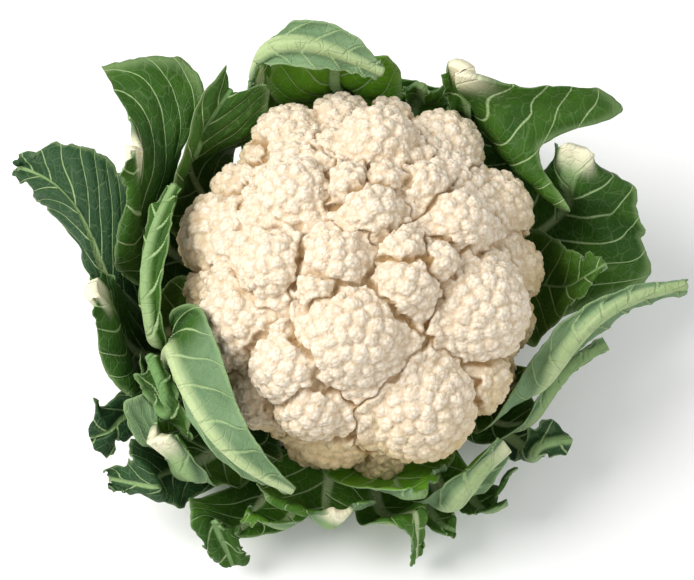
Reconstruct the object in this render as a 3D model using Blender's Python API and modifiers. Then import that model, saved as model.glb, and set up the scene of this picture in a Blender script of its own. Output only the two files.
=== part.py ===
"""A trimmed cauliflower on its cut stalk: a curd of florets inside a collar of cut and folded leaves.

World axes: +Z up, the front of the head towards -Y, origin at the middle of the stalk's cut face.
Lengths here are millimetres and angles are degrees; MM turns a length into metres where a mesh is made.
"""

import math

import bmesh
import bpy
import numpy as np

MM = 0.001

# The stalk: a short round stump that the leaves and the curd grow from.
STALK_RADIUS = 20.0
STALK_FOOT_RADIUS = 18.5
STALK_CHAMFER = 2.0
STALK_HEIGHT = 36.0
STALK_SIDES = 32
JOINT_GAP = 0.35

# Places that show in a view of the whole head are given as (x, y, height): x to the right and y down in that
# view, in units of VIEW_UNIT, and height above the bench. The view looks back over the head from the front.
VIEW_ELEVATION = 66.0
VIEW_DISTANCE = 1000.0
VIEW_UNIT = 0.438
VIEW_MIDDLE = (362, 284)
VIEW_AIM_HEIGHT = 70.0

# The curd: florets set on an egg-shaped dome.
HEAD_HALF_WIDTH = 80.5
HEAD_HALF_DEPTH = 88.0
HEAD_HALF_HEIGHT = 64.0
HEAD_CENTRE_Z = 72.0
CORE_SHARE = 0.80
CORE_BELOW_SHARE = 0.62
CURD_FOOT_RADIUS = 19.0
UNDERSIDE_SLOPE = 0.30
FLORET_INSET_SHARE = 0.80
ICOSPHERE_LEVEL = 5
CROWDING = 0.30
BALL_SHARE = 0.93
LOBE_SHARE = 0.34
LOBE_SINK = 0.80
LOBES_PER_FLORET = 13
LOWER_RING_COUNT = 13
LOWER_RING_RADIUS = 15.0
LOWER_RING_DROP = 24.0
GOLDEN_ANGLE = math.radians(137.508)

# Florets: x and y in the view, radius, and how far each lies below its neighbours.
FLORETS = [
    (371, 213, 15, 0),
    (350, 186, 11, 0),
    (424, 188, 12, 0),
    (402, 250, 11, 0),
    (337, 264, 15, 0),
    (405, 284, 15, 0),
    (297, 196, 17, 0),
    (375, 147, 18, 0),
    (455, 224, 16, 0),
    (277, 268, 16, 0),
    (440, 153, 20, 1),
    (290, 143, 20, 1),
    (350, 334, 25, 0),
    (469, 310, 26, 0),
    (221, 236, 22, 1),
    (243, 325, 20, 1),
    (291, 366, 18, 0),
    (501, 206, 20, 2),
    (337, 108, 18, 3),
    (389, 110, 13, 3),
    (417, 400, 27, 0),
    (472, 378, 17, 2),
    (310, 403, 16, 1),
    (262, 396, 15, 2),
    (330, 452, 22, 7),
    (394, 457, 17, 7),
    (520, 270, 18, 4),
    (522, 325, 16, 6),
    (207, 170, 17, 5),
    (248, 131, 15, 5),
    (195, 293, 14, 5),
    (318, 290, 10, 0),
    (385, 180, 9, 0),
    (437, 262, 10, 0),
]


def about(azimuth, radius, height):
    """A place given about the stalk's axis, as x, y, z."""
    angle = math.radians(azimuth)
    return (radius * math.cos(angle), radius * math.sin(angle), height)


def seen(x, y, height):
    """The x, y, z of a place seen at (x, y) in the view that stands at this height above the bench."""
    tilt = math.radians(VIEW_ELEVATION)
    above = height - VIEW_AIM_HEIGHT
    across = (x - VIEW_MIDDLE[0]) * VIEW_UNIT
    up = (VIEW_MIDDLE[1] - y) * VIEW_UNIT
    back = 0.0
    for _ in range(4):
        nearness = 1 - (above * math.sin(tilt) - back * math.cos(tilt)) / VIEW_DISTANCE
        back = (up * nearness - above * math.cos(tilt)) / math.sin(tilt)
    return (across * nearness, back, height)


def petiole(root, azimuth, layer):
    """The midrib's first points: on the stalk, then out under the curd. Layer 1 is the highest."""
    start = {1: 31.0, 2: 23.0, 3: 15.0, 4: 7.8}[layer]
    out = {1: (50, 36.5), 2: (52, 26.5), 3: (55, 17), 4: (58, 9)}[layer]
    return [about(root, STALK_RADIUS + JOINT_GAP, start), about(azimuth, *out)]


# Leaves. A leaf is a midrib that starts on the stalk, and a blade on each side of it. The skirt is how many
# degrees the blade spreads to its right and to its left where it comes out from under the curd. Beyond that,
# an edge row holds a share of the rest of the midrib, where the blade's rim is beside that place, and how far
# the blade between them bows to its upper face. The rim is a place, or (width, rise): how far it is from the
# midrib, and how many degrees it rises. Right and left are those of someone looking at the upper face with the
# tip up. A roll turns the blade about the midrib. Easing is how many times a row moves towards its neighbours,
# which keeps the rows of a tightly bent blade apart.
BASE_WIDTH = 8.0
BLADE_THICKNESS = 0.9
RIM_THICKNESS = 0.7
RIB_DEPTH_BASE = 6.5
RIB_DEPTH_SHARE = 0.42
GROOVE_DEPTH = 0.7
WING = 1.0
LEAST_BLADE = 1.6
LEAST_RIB = 1.3
SKIRT_START = 0.45
SKIRT_RISE = 2.0
EASING = 1
BEND_SHARE = 0.24
COLUMNS = (0.0, 0.35, 0.7, 1.0)
SMALL_COLUMNS = (0.0, 0.5, 1.0)

LEAVES = {
    "leaf_back_folded": dict(
        spine=petiole(121, 118, 1)
        + [about(117, 82, 46), about(120, 96, 74), seen(263, 90, 94), seen(260, 64, 112),
           seen(272, 42, 128),
           seen(300, 40, 134), seen(340, 52, 130), seen(384, 72, 121)],
        rib=(12, 3),
        skirt=(10, 12),
        right=[(0.19, (12, 0), 0), (0.40, (8, 0), 0), (0.56, (5, 0), 0), (0.70, (12, 0), 1),
               (0.86, (12, 0), 1),
               (1.00, (3, 0), 0)],
        left=[(0.19, (10, 0), 0), (0.40, (6, 0), 0), (0.56, (4, 0), 0), (0.70, (13, 0), 1),
              (0.86, (9, 0), 1),
              (1.00, (2, 0), 0)],
        roll=[(0.6, 0), (0.78, -90), (1.0, -100)],
        wave=(1.0, 3),
    ),
    "leaf_back_inner": dict(
        spine=petiole(92, 93, 1) + [about(93, 84, 48), about(94, 95, 72), seen(335, 92, 84),
                                    seen(336, 54, 107)],
        rib=(10, 3),
        skirt=(14, 10),
        right=[(0.16, about(80, 92, 60), 0), (0.58, seen(392, 105, 78), 1), (0.83, seen(398, 74, 94), 1),
               (1.00, seen(380, 56, 106), 0)],
        left=[(0.16, about(104, 93, 60), 0), (0.58, seen(284, 105, 82), 1), (0.83, seen(270, 72, 102), 1),
              (1.00, seen(290, 56, 108), 0)],
        wave=(1.0, 3),
    ),
    "leaf_back_small": dict(
        spine=petiole(78, 78, 2) + [about(78, 90, 30), about(76, 103, 52), seen(420, 104, 66),
                                    seen(420, 90, 84)],
        rib=(11, 7),
        skirt=(18, 22),
        right=[(0.18, about(68, 104, 54), 0), (0.57, seen(450, 108, 66), 2), (0.83, seen(450, 88, 82), 2),
               (1.00, seen(436, 78, 88), 1)],
        left=[(0.18, about(88, 104, 56), 0), (0.65, seen(402, 102, 72), 2), (1.00, seen(402, 84, 86), 1)],
        easing=0,
        wave=(1.6, 3),
        small=True,
    ),
    "leaf_back_right": dict(
        spine=petiole(60, 61, 1) + [about(61, 82, 46), about(60, 94, 68), seen(470, 122, 80),
                                    seen(460, 72, 114)],
        rib=(12, 13),
        skirt=(24, 13),
        right=[(0.14, about(40, 92, 56), 0), (0.37, about(33, 94, 68), 2), (0.59, seen(572, 210, 88), 3),
               (0.74, seen(545, 145, 94), 3), (0.87, seen(624, 112, 92), 3), (1.00, seen(600, 86, 102), 4)],
        left=[(0.26, about(70, 91, 62), 0), (0.63, seen(450, 118, 78), 0), (1.00, seen(446, 76, 108), 0)],
        easing=0,
        wave=(1.6, 3),
    ),
    "leaf_right_upper": dict(
        spine=petiole(27, 27, 2) + [about(27, 86, 32), about(25, 103, 60), seen(568, 190, 75),
                                    seen(578, 150, 90)],
        rib=(13, 15),
        skirt=(28, 22),
        right=[(0.14, about(2, 106, 40), 2), (0.39, seen(650, 278, 48), 5), (0.62, seen(642, 232, 60), -3),
               (0.83, seen(632, 188, 73), 4), (1.00, seen(602, 165, 79), -1)],
        left=[(0.21, about(43, 104, 50), 0), (0.62, seen(543, 174, 64), 1), (1.00, seen(548, 148, 85), 0)],
        roll=[(0.6, 0), (1.0, -60)],
        easing=0,
        wave=(3.0, 2.5),
    ),
    "leaf_right_small": dict(
        spine=petiole(18, 10, 1) + [about(8, 82, 45), about(1, 90, 62), seen(578, 278, 76),
                                    seen(606, 262, 84)],
        rib=(10, 3),
        skirt=(26, 24),
        right=[(0.20, (22, 0), 0), (0.60, (16, -10), 1), (1.0, (4, 0), 0)],
        left=[(0.20, (24, 18), 0), (0.60, (15, 25), 1), (1.0, (4, 0), 0)],
        wave=(1.4, 4),
        small=True,
    ),
    "leaf_right_long": dict(
        spine=petiole(334, 330, 1)
        + [about(330, 81, 45), about(330, 88, 62), seen(548, 372, 78), seen(580, 325, 92),
           seen(618, 298, 98),
           seen(655, 290, 94), seen(688, 284, 88)],
        rib=(11, 2.5),
        skirt=(23, 8),
        right=[(0.20, about(318, 84, 62), 0), (0.38, seen(540, 345, 86), 2), (0.57, seen(572, 300, 98), 2),
               (0.72, seen(618, 288, 102), 0), (0.88, seen(655, 282, 96), 0),
               (1.00, seen(690, 281, 88), 0)],
        left=[(0.20, (8, 0), 0), (0.38, (10, 0), 0), (0.57, seen(584, 340, 82), 0),
              (0.72, seen(612, 312, 90), -1), (0.88, seen(655, 298, 88), -1),
              (1.00, seen(688, 289, 86), 0)],
        roll=[(0.5, 0), (0.7, 50), (1.0, 65)],
        easing=3,
        wave=(1.2, 5),
    ),
    "leaf_right_strip": dict(
        spine=petiole(328, 320, 2) + [about(321, 82, 29), about(322, 91, 42), seen(540, 404, 50),
                                      seen(568, 362, 55),
                                      seen(608, 344, 61)],
        rib=(10, 2.5),
        skirt=(12, 18),
        right=[(0.16, (10, 0), 0), (0.45, (7, 5), 0), (0.75, (6, 5), 1), (1.0, (2, 0), 0)],
        left=[(0.16, (9, -15), 0), (0.45, (7, -10), 0), (0.75, (7, 0), 1), (1.0, (2, 0), 0)],
        roll=[(0.6, 0), (0.8, 50), (1.0, 60)],
        easing=3,
        wave=(1.0, 4),
    ),
    "leaf_front_right_stub": dict(
        spine=petiole(296, 294, 2) + [about(293, 88, 28), about(293, 102, 46), seen(474, 466, 60),
                                      seen(504, 443, 63)],
        rib=(12, 9),
        skirt=(10, 11),
        right=[(0.2, (14, 8), 0), (0.6, (11, 15), 1), (1.0, (8, 10), 0)],
        left=[(0.2, (16, 0), 0), (0.6, (12, -15), 1), (1.0, (9, -10), 0)],
        wave=(1.6, 3),
        small=True,
    ),
    "leaf_front_right_wing": dict(
        spine=petiole(325, 322, 3) + [about(322, 92, 18), about(319, 105, 30), seen(526, 446, 42),
                                      seen(572, 440, 37)],
        rib=(11, 3),
        skirt=(6, 6),
        right=[(0.2, (9, 0), 0), (0.5, (12, 0), 1), (0.75, (11, 5), 2), (1.0, (14, 0), 1)],
        left=[(0.2, (8, 0), 0), (0.6, (7, 0), 0), (1.0, (7, 0), 0)],
        roll=[(0.6, 0), (0.8, 50)],
        easing=3,
        wave=(0.8, 3),
    ),
    "leaf_front_bright": dict(
        spine=petiole(286, 281, 1) + [about(280, 84, 45), about(281, 93, 60), seen(424, 488, 68)],
        rib=(11, 7),
        skirt=(26, 22),
        right=[(0.2, (26, 9), 0), (0.6, (15, 12), 1), (1.0, (6, 0), 1)],
        left=[(0.2, (24, 9), 0), (0.6, (19, 15), 2), (1.0, (9, 0), 1)],
        wave=(1.2, 4),
        small=True,
    ),
    "leaf_front_right_low": dict(
        spine=petiole(316, 303, 4) + [about(302, 92, 12), about(302, 107, 32), seen(508, 498, 30)],
        rib=(11, 5),
        skirt=(4, 3),
        right=[(0.2, (9, 5), 0), (0.6, (12, -5), 1), (1.0, (8, 0), 0)],
        left=[(0.2, (12, 5), 0), (0.6, seen(514, 472, 31), 2), (1.0, seen(524, 492, 29), 1)],
        wave=(2.0, 3),
        small=True,
    ),
    "leaf_front_low": dict(
        spine=petiole(286, 288, 4) + [about(290, 90, 11), about(291, 104, 25), seen(462, 532, 22)],
        rib=(10, 4),
        skirt=(3, 4),
        right=[(0.2, (6, 5), 0), (0.6, (8, 0), 1), (1.0, (6, 0), 0)],
        left=[(0.2, (7, 5), 0), (0.6, (9, 5), 1), (1.0, (7, 0), 0)],
        wave=(1.4, 3),
        small=True,
    ),
    "leaf_front_strap": dict(
        spine=petiole(276, 274, 3) + [about(276, 90, 19), about(280, 95, 34), seen(418, 506, 46),
                                      seen(419, 524, 38),
                                 seen(419, 545, 22), seen(418, 563, 9)],
        rib=(11, 4),
        skirt=(8, 12),
        right=[(0.14, (18, 8), 0), (0.34, (20, 5), 1), (0.52, (9, 0), 1), (0.75, (7, 0), 1),
               (1.0, (6, 0), 0)],
        left=[(0.14, (12, 8), 0), (0.34, (8, 0), 1), (0.52, (8, 0), 1), (0.75, (7, 0), 1),
              (1.0, (5, 0), 0)],
        wave=(1.0, 3),
    ),
    "leaf_front_left": dict(
        spine=petiole(262, 259, 2) + [about(259, 88, 28), about(262, 101, 45), seen(338, 508, 58)],
        rib=(12, 9),
        skirt=(23, 15),
        right=[(0.16, about(243, 98, 46), 0), (0.40, seen(262, 486, 56), 1), (0.62, seen(236, 482, 52), 2),
               (0.82, seen(262, 505, 46), 2), (1.0, seen(306, 520, 48), 1)],
        left=[(0.2, about(272, 98, 44), 0), (0.60, seen(385, 492, 52), 1), (1.0, seen(362, 504, 56), 1)],
        easing=3,
        wave=(1.2, 3),
    ),
    "leaf_wrap": dict(
        spine=petiole(230, 219, 1)
        + [about(214, 82, 44), about(207, 91, 62), seen(174, 350, 85), seen(192, 392, 94),
           seen(215, 432, 94),
           seen(250, 466, 87), seen(297, 490, 76)],
        rib=(11, 3),
        skirt=(9, 32),
        right=[(0.15, about(200, 84, 66), 0), (0.26, seen(172, 310, 94), 2), (0.38, seen(200, 304, 110), 2),
               (0.53, seen(220, 350, 112), 1), (0.69, seen(238, 405, 106), 1),
               (0.85, seen(268, 450, 96), 1),
               (1.00, seen(302, 488, 79), 0)],
        left=[(0.15, about(222, 90, 60), 0), (0.29, about(214, 95, 70), 0), (0.44, seen(180, 378, 82), 0),
              (0.62, seen(205, 444, 82), 0), (0.79, seen(244, 474, 78), 0), (1.00, seen(294, 495, 72), 0)],
        easing=0,
        wave=(1.0, 4),
    ),
    "leaf_low_front_left": dict(
        spine=petiole(256, 243, 4) + [about(241, 94, 12), about(240, 114, 25), seen(208, 514, 36),
                                      seen(224, 544, 25),
                                      seen(234, 570, 12)],
        rib=(12, 3.5),
        skirt=(8, 14),
        right=[(0.14, about(229, 112, 25), 2), (0.35, seen(183, 497, 40), 2), (0.63, seen(192, 534, 30), 2),
               (0.84, seen(214, 554, 18), 2), (1.00, seen(210, 571, 11), 0)],
        left=[(0.14, about(249, 109, 20), 1), (0.35, seen(228, 518, 32), 2), (0.67, seen(246, 542, 24), 2),
              (1.00, seen(256, 566, 11), 0)],
        wave=(2.2, 3.5),
    ),
    "leaf_front_left_curl": dict(
        spine=petiole(247, 250, 3) + [about(251, 92, 20), about(250, 107, 32), seen(240, 501, 49),
                                      seen(240, 520, 42)],
        rib=(10, 3),
        skirt=(8, 5),
        right=[(0.2, (12, 10), 0), (0.6, (7, 0), 0), (1.0, (6, 0), 0)],
        left=[(0.2, (9, 10), 0), (0.6, (9, 5), 1), (1.0, (7, 0), 1)],
        wave=(0.4, 3),
        small=True,
    ),
    "leaf_left_loop": dict(
        spine=petiole(218, 222, 3) + [about(222, 92, 20), about(224, 108, 44), seen(186, 470, 56),
                                      seen(163, 432, 70)],
        rib=(12, 13),
        skirt=(12, 14),
        right=[(0.14, about(210, 108, 44), 1), (0.49, seen(140, 448, 54), 3), (0.79, seen(122, 408, 66), 5),
               (1.00, seen(142, 392, 74), 4)],
        left=[(0.2, (22, 10), 0), (0.6, (14, 15), 1), (1.0, (10, 10), 1)],
        easing=0,
        wave=(1.4, 3),
    ),
    "leaf_left_middle": dict(
        spine=petiole(207, 207, 2) + [about(206, 88, 30), about(207, 103, 56), seen(172, 412, 72),
                                      seen(150, 352, 84)],
        rib=(11, 3),
        skirt=(7, 22),
        right=[(0.26, about(196, 102, 58), 0), (0.67, seen(140, 380, 74), 2),
               (1.00, seen(146, 350, 82), 0)],
        left=[(0.26, about(220, 102, 56), 0), (0.67, seen(198, 440, 70), 1), (1.00, seen(160, 356, 84), 0)],
        easing=0,
        wave=(1.6, 3),
        small=True,
    ),
    "leaf_low_left": dict(
        spine=petiole(226, 223, 4) + [about(221, 94, 11), about(220, 116, 31), seen(160, 486, 44),
                                      seen(102, 478, 32)],
        rib=(12, 3),
        skirt=(8, 8),
        right=[(0.14, about(212, 114, 34), 1), (0.36, seen(130, 438, 48), 2),
               (0.68, seen(122, 456, 46), -1),
               (1.00, seen(98, 474, 34), 0)],
        left=[(0.14, about(228, 112, 24), 1), (0.36, seen(180, 513, 30), 2), (0.68, seen(142, 500, 32), 2),
              (1.00, seen(104, 484, 28), 0)],
        roll=[(0.65, 0), (0.85, 45), (1.0, 70)],
        easing=0,
        wave=(2.2, 4),
    ),
    "leaf_low_left_outer": dict(
        spine=petiole(196, 202, 4) + [about(203, 94, 11), about(203, 118, 32), seen(112, 440, 35),
                                      seen(84, 440, 33)],
        rib=(11, 3),
        skirt=(12, 7),
        right=[(0.2, (14, 15), 0), (0.6, (14, 10), 1), (1.0, (13, -10), 0)],
        left=[(0.2, (14, -5), 0), (0.6, (16, 0), 1), (1.0, (12, 0), 0)],
        wave=(1.8, 3),
        small=True,
    ),
    "leaf_left_stub": dict(
        spine=petiole(188, 189, 3) + [about(190, 92, 20), about(190, 106, 52), seen(118, 312, 74),
                                      seen(98, 288, 88)],
        rib=(12, 13),
        skirt=(12, 9),
        right=[(0.21, about(178, 106, 52), 0), (0.61, seen(116, 282, 80), 1), (1.0, (12, 15), 0)],
        left=[(0.17, about(202, 108, 46), 1), (0.41, seen(138, 402, 54), 2), (0.65, seen(110, 388, 58), 2),
              (0.84, seen(98, 345, 68), 2), (1.0, (10, -30), 0)],
        wave=(1.8, 3),
    ),
    "leaf_far_left": dict(
        spine=petiole(166, 172, 4) + [about(174, 94, 13), about(176, 114, 44), seen(98, 252, 60),
                                      seen(80, 202, 70),
                                 seen(46, 174, 68), seen(12, 165, 58)],
        rib=(12, 2.5),
        skirt=(14, 11),
        right=[(0.15, about(165, 110, 44), 1), (0.32, seen(130, 230, 68), 2), (0.48, seen(132, 168, 76), 3),
               (0.64, seen(110, 142, 80), 3), (0.84, seen(52, 138, 74), 2), (1.00, seen(12, 158, 60), 0)],
        left=[(0.15, about(184, 112, 40), 1), (0.35, seen(84, 272, 50), 2), (0.58, seen(60, 212, 58), -2),
              (0.80, seen(26, 198, 56), 1), (1.00, seen(10, 170, 56), 0)],
        roll=[(0.45, 0), (0.58, 60), (0.7, 85), (1.0, 95)],
        easing=2,
        wave=(2.6, 4),
    ),
    "leaf_upper_left": dict(
        spine=petiole(160, 160, 2) + [about(160, 88, 30), about(161, 103, 56), seen(142, 230, 78),
                                      seen(144, 180, 98),
                                 seen(138, 146, 110)],
        rib=(12, 11),
        skirt=(26, 17),
        right=[(0.18, about(149, 103, 57), 1), (0.38, seen(171, 177, 87), 1), (0.59, seen(216, 108, 99), 2),
               (0.76, seen(222, 42, 103), 3), (0.90, seen(146, 40, 100), 2), (1.00, seen(98, 70, 98), 2)],
        left=[(0.18, about(172, 104, 54), 1), (0.42, seen(106, 278, 68), 3), (0.62, seen(118, 240, 82), 3),
              (0.83, seen(132, 200, 96), 1), (1.0, (9, -30), 0)],
        easing=3,
        wave=(1.8, 3),
    ),
    "leaf_upper_inner": dict(
        spine=petiole(150, 146, 1) + [about(145, 82, 45), about(144, 94, 66), seen(196, 152, 90),
                                      seen(232, 88, 106)],
        rib=(11, 3),
        skirt=(11, 17),
        right=[(0.25, about(132, 92, 62), 0), (0.54, seen(240, 144, 81), 0), (0.79, seen(261, 111, 94), 1),
               (1.00, seen(254, 86, 108), 0)],
        left=[(0.25, about(158, 91, 62), 0), (0.54, seen(178, 196, 90), 1), (0.79, seen(202, 118, 104), 1),
              (1.00, seen(228, 76, 108), 0)],
        roll=[(0.75, 0), (0.88, 35), (1.0, 80)],
        wave=(1.4, 3),
    ),
    "leaf_left_inner": dict(
        spine=petiole(184, 185, 1)
        + [about(187, 82, 45), about(193, 91, 62), seen(158, 340, 80), seen(148, 288, 92),
           seen(156, 232, 98),
           seen(178, 184, 100)],
        rib=(11, 3.5),
        skirt=(18, 11),
        right=[(0.25, about(182, 90, 62), 0), (0.44, seen(142, 322, 82), 0), (0.66, seen(138, 272, 88), 0),
               (0.84, seen(154, 212, 92), 0), (1.00, seen(176, 180, 97), 0)],
        left=[(0.25, (9, 0), 0), (0.44, (8, 0), 0), (0.66, seen(164, 262, 102), 1),
              (0.84, seen(180, 214, 104), 1), (1.00, seen(183, 186, 101), 0)],
        wave=(1.2, 4),
    ),
    "leaf_low_back": dict(
        spine=petiole(88, 88, 3) + [about(88, 92, 19), about(87, 112, 42), about(86, 116, 56)],
        rib=(12, 7),
        skirt=(20, 20),
        right=[(0.14, about(65, 106, 30), 2), (0.48, about(62, 114, 44), 3), (1.00, about(72, 119, 56), 2)],
        left=[(0.14, about(109, 106, 30), 2), (0.48, about(112, 114, 44), 3), (1.00, about(100, 119, 56), 2)],
        easing=0,
        wave=(2.2, 3),
        small=True,
    ),
}

LARGE_ROWS = 15
SMALL_ROWS = 10

MATERIALS = {
    "curd": ((0.86, 0.76, 0.60), 0.75),
    "stalk": ((0.72, 0.76, 0.52), 0.6),
    "leaf": ((0.06, 0.16, 0.04), 0.5),
}


def material(name):
    """The plain finish of one kind of piece."""
    found = bpy.data.materials.get(name)
    if found:
        return found
    colour, roughness = MATERIALS[name]
    made = bpy.data.materials.new(name)
    made.use_nodes = True
    shader = made.node_tree.nodes["Principled BSDF"]
    shader.inputs["Base Color"].default_value = (*colour, 1.0)
    shader.inputs["Roughness"].default_value = roughness
    shader.inputs["Metallic"].default_value = 0.0
    return made


def add_object(name, mesh, collection, finish):
    made = bpy.data.objects.new(name, mesh)
    mesh.materials.append(material(finish))
    mesh.shade_smooth()
    mesh.set_sharp_from_angle(angle=math.radians(50))
    collection.objects.link(made)
    return made


def smooth_curve(points, at):
    """A flowing curve through points spaced by their own distances, read at shares of its length."""
    points = np.asarray(points, float)
    knots = np.concatenate([[0], np.cumsum(np.linalg.norm(np.diff(points, axis=0), axis=1))])
    knots = knots / knots[-1]
    return hermite(knots, points, np.gradient(points, knots, axis=0), at)


def level_slopes(knots, points):
    """Slopes that keep a curve from swinging out past its own points."""
    chords = np.diff(points, axis=0) / np.diff(knots)[:, None]
    before, after = chords[:-1], chords[1:]
    together = before * after > 0
    middle = np.where(together, 2 * before * after / np.where(together, before + after, 1), 0)
    return np.concatenate([chords[:1], middle, chords[-1:]])


def hermite(knots, points, slopes, at):
    """The curve that takes the value points[i], and the slope slopes[i], at knots[i]."""
    i = np.clip(np.searchsorted(knots, at, side="right") - 1, 0, len(knots) - 2)
    span = (knots[i + 1] - knots[i])[:, None]
    t = ((at - knots[i])[:, None]) / span
    value = (2 * t**3 - 3 * t**2 + 1) * points[i] + (3 * t**2 - 2 * t**3) * points[i + 1]
    return value + span * ((t**3 - 2 * t**2 + t) * slopes[i] + (t**3 - t**2) * slopes[i + 1])


def unit(vectors):
    return vectors / np.maximum(np.linalg.norm(vectors, axis=-1, keepdims=True), 1e-9)


def sheet_normals(grid):
    """The upper face's normals at a grid of points: rows along the leaf, columns from left rim to right."""
    along = np.gradient(grid, axis=0)
    across = np.gradient(grid, axis=1)
    return unit(np.cross(across, along))


def read_at(places, values, at):
    """Rows of values, read between their places."""
    return np.column_stack([np.interp(at, places, column) for column in values.T])


def leaf_frame(leaf, shares):
    """The midrib's points, its direction, and the directions to its right and out of its upper face.

    The upper face looks up where the leaf leaves the stalk. From there it turns as the midrib bends and rolls.
    """
    fine = np.linspace(0, 1, 161)
    spine = smooth_curve(leaf["spine"], fine)
    forward = unit(np.gradient(spine, axis=0))
    upper = np.empty_like(spine)
    facing = np.array([0, 0, 1.0])
    for i, along in enumerate(forward):
        facing = unit(facing - (facing @ along) * along)
        upper[i] = facing
    right = np.cross(forward, upper)
    roll = np.radians(np.interp(fine, *np.array(leaf.get("roll", [(0, 0)])).T))[:, None]
    rolled = np.cos(roll) * right + np.sin(roll) * upper
    upper = np.cos(roll) * upper - np.sin(roll) * right
    return [read_at(fine, values, shares) for values in (spine, forward, rolled, upper)]


def rib_half_width(leaf, shares):
    """Half the midrib's width: narrow on the stalk, widest under the curd, then narrowing to the tip."""
    widest, end = leaf["rib"]
    return np.interp(shares, [0, 0.22, 0.6, 1.0], [BASE_WIDTH, widest, 0.6 * widest + 0.4 * end, end]) / 2


def skirt_of(leaf, side):
    """Where the blade opens, under the curd: the share along the midrib, and the rim on one side."""
    steps = np.linalg.norm(np.diff(np.array(leaf["spine"]), axis=0), axis=1)
    x, y, height = leaf["spine"][2]
    turn = -leaf["skirt"][0] if side == "right" else leaf["skirt"][1]
    rim = about(math.degrees(math.atan2(y, x)) + turn, math.hypot(x, y), height + SKIRT_RISE)
    return steps[:2].sum() / steps.sum(), rim


def rim_place(leaf, side, share, place):
    """A rim's point from the table: as it stands, or from a width and a rise beside the midrib."""
    if len(place) == 3:
        return place
    width, rise = place
    spine, _, right, upper = leaf_frame(leaf, [share])
    sign = 1 if side == "right" else -1
    tilt = math.radians(rise)
    return (spine + width * (sign * math.cos(tilt) * right + math.sin(tilt) * upper))[0]


def rim_line(leaf, side, shares, rib_edge, outward):
    """The blade's rim on one side, and its belly: a narrow wing, then the skirt, then the edge rows."""
    opens, skirt = skirt_of(leaf, side)
    start = SKIRT_START * opens
    wing = rib_edge + WING * outward
    knots = [start, opens]
    points = [read_at(shares, wing, [start])[0], skirt]
    bellies = [0, 0]
    for beyond, place, belly in leaf[side]:
        share = opens + (1 - opens) * beyond
        knots.append(share)
        points.append(rim_place(leaf, side, share, place))
        bellies.append(belly)
    knots, points = np.array(knots), np.array(points)
    slopes = level_slopes(knots, points)
    slopes[0] = np.diff(read_at(shares, wing, [start - 0.02, start + 0.02]), axis=0)[0] / 0.04
    rim = hermite(knots, points, slopes, np.clip(shares, start, 1.0))
    reach = ((rim - rib_edge) * outward).sum(1)[:, None]
    rim = rim + outward * np.maximum(LEAST_BLADE - reach, 0)
    share = np.clip((shares - start) / 0.05 + 1, 0, 1)[:, None]
    return wing * (1 - share) + rim * share, np.interp(shares, knots, bellies)


def blade_grid(leaf, rows, columns):
    """The upper face as a grid of points, with each one's share along the midrib and signed share across."""
    shares = np.linspace(0, 1, rows)
    spine, forward, right, upper = leaf_frame(leaf, shares)
    half = rib_half_width(leaf, shares)[:, None]
    amplitude, count = leaf["wave"]
    across = np.array(columns)
    sides = {}
    for side, sign in (("left", -1), ("right", 1)):
        edge = spine + sign * half * right
        rim, belly = rim_line(leaf, side, shares, edge, sign * right)
        flat = edge[:, None] + (rim - edge)[:, None] * across[None, :, None]
        normal = sheet_normals(flat if sign > 0 else flat[:, ::-1])
        if sign < 0:
            normal = normal[:, ::-1]
        grown = np.clip((shares - skirt_of(leaf, side)[0]) / 0.25, 0, 1)
        phase = 2 * np.pi * count * shares + (0.0 if sign > 0 else 2.1)
        height = belly[:, None] * 4 * across * (1 - across)
        height = height + amplitude * (np.sin(phase) * grown)[:, None] * across**1.5
        sides[side] = flat + height[..., None] * normal
    middle = (spine - GROOVE_DEPTH * upper)[:, None]
    grid = np.concatenate([sides["left"][:, ::-1], middle, sides["right"]], axis=1)
    signed = np.concatenate([-across[::-1] - 1, [0], across + 1])
    return eased(grid, leaf.get("easing", EASING)), shares, signed


def eased(grid, times):
    """The grid with its rows evened out along the leaf, beyond the part that lies under the curd."""
    share = np.clip(np.linspace(0, 1, len(grid))[1:-1] / 0.25 - 1, 0, 1)[:, None, None]
    for _ in range(times):
        even = (grid[:-2] + 2 * grid[1:-1] + grid[2:]) / 4
        grid[1:-1] += share * (even - grid[1:-1])
    return grid


def tightest_bend(grid):
    """At each row, the smallest radius to which the midrib bends there and at the rows beside it."""
    middle = grid[:, grid.shape[1] // 2]
    steps = np.diff(middle, axis=0)
    turn = np.diff(unit(steps), axis=0)
    length = (np.linalg.norm(steps[:-1], axis=1) + np.linalg.norm(steps[1:], axis=1)) / 2
    radius = length / np.maximum(np.linalg.norm(turn, axis=1), 1e-6)
    radius = np.concatenate([radius[:1], radius, radius[-1:]])
    return np.minimum(radius, np.minimum(np.roll(radius, 1), np.roll(radius, -1)))


def leaf_thickness(leaf, grid, shares, signed):
    """Thickness at each grid point: deep under the midrib, thin in the blade, thinnest at the rim."""
    widest = leaf["rib"][0]
    half = rib_half_width(leaf, shares)
    depth = np.maximum(RIB_DEPTH_SHARE * 2 * half, 1.6)
    depth = np.minimum(depth * np.interp(shares, [0, 0.3], [1.6, 1.15]), RIB_DEPTH_BASE * widest / 12)
    depth = np.maximum(np.minimum(depth, BEND_SHARE * tightest_bend(grid)), LEAST_RIB)
    across = np.abs(signed)
    blade = np.interp(across, [1, 2], [BLADE_THICKNESS, RIM_THICKNESS])
    thick = np.where(across[None] > 1.01, blade[None], 0.55 * depth[:, None])
    return np.where(across[None] < 0.5, depth[:, None], thick)


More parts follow.
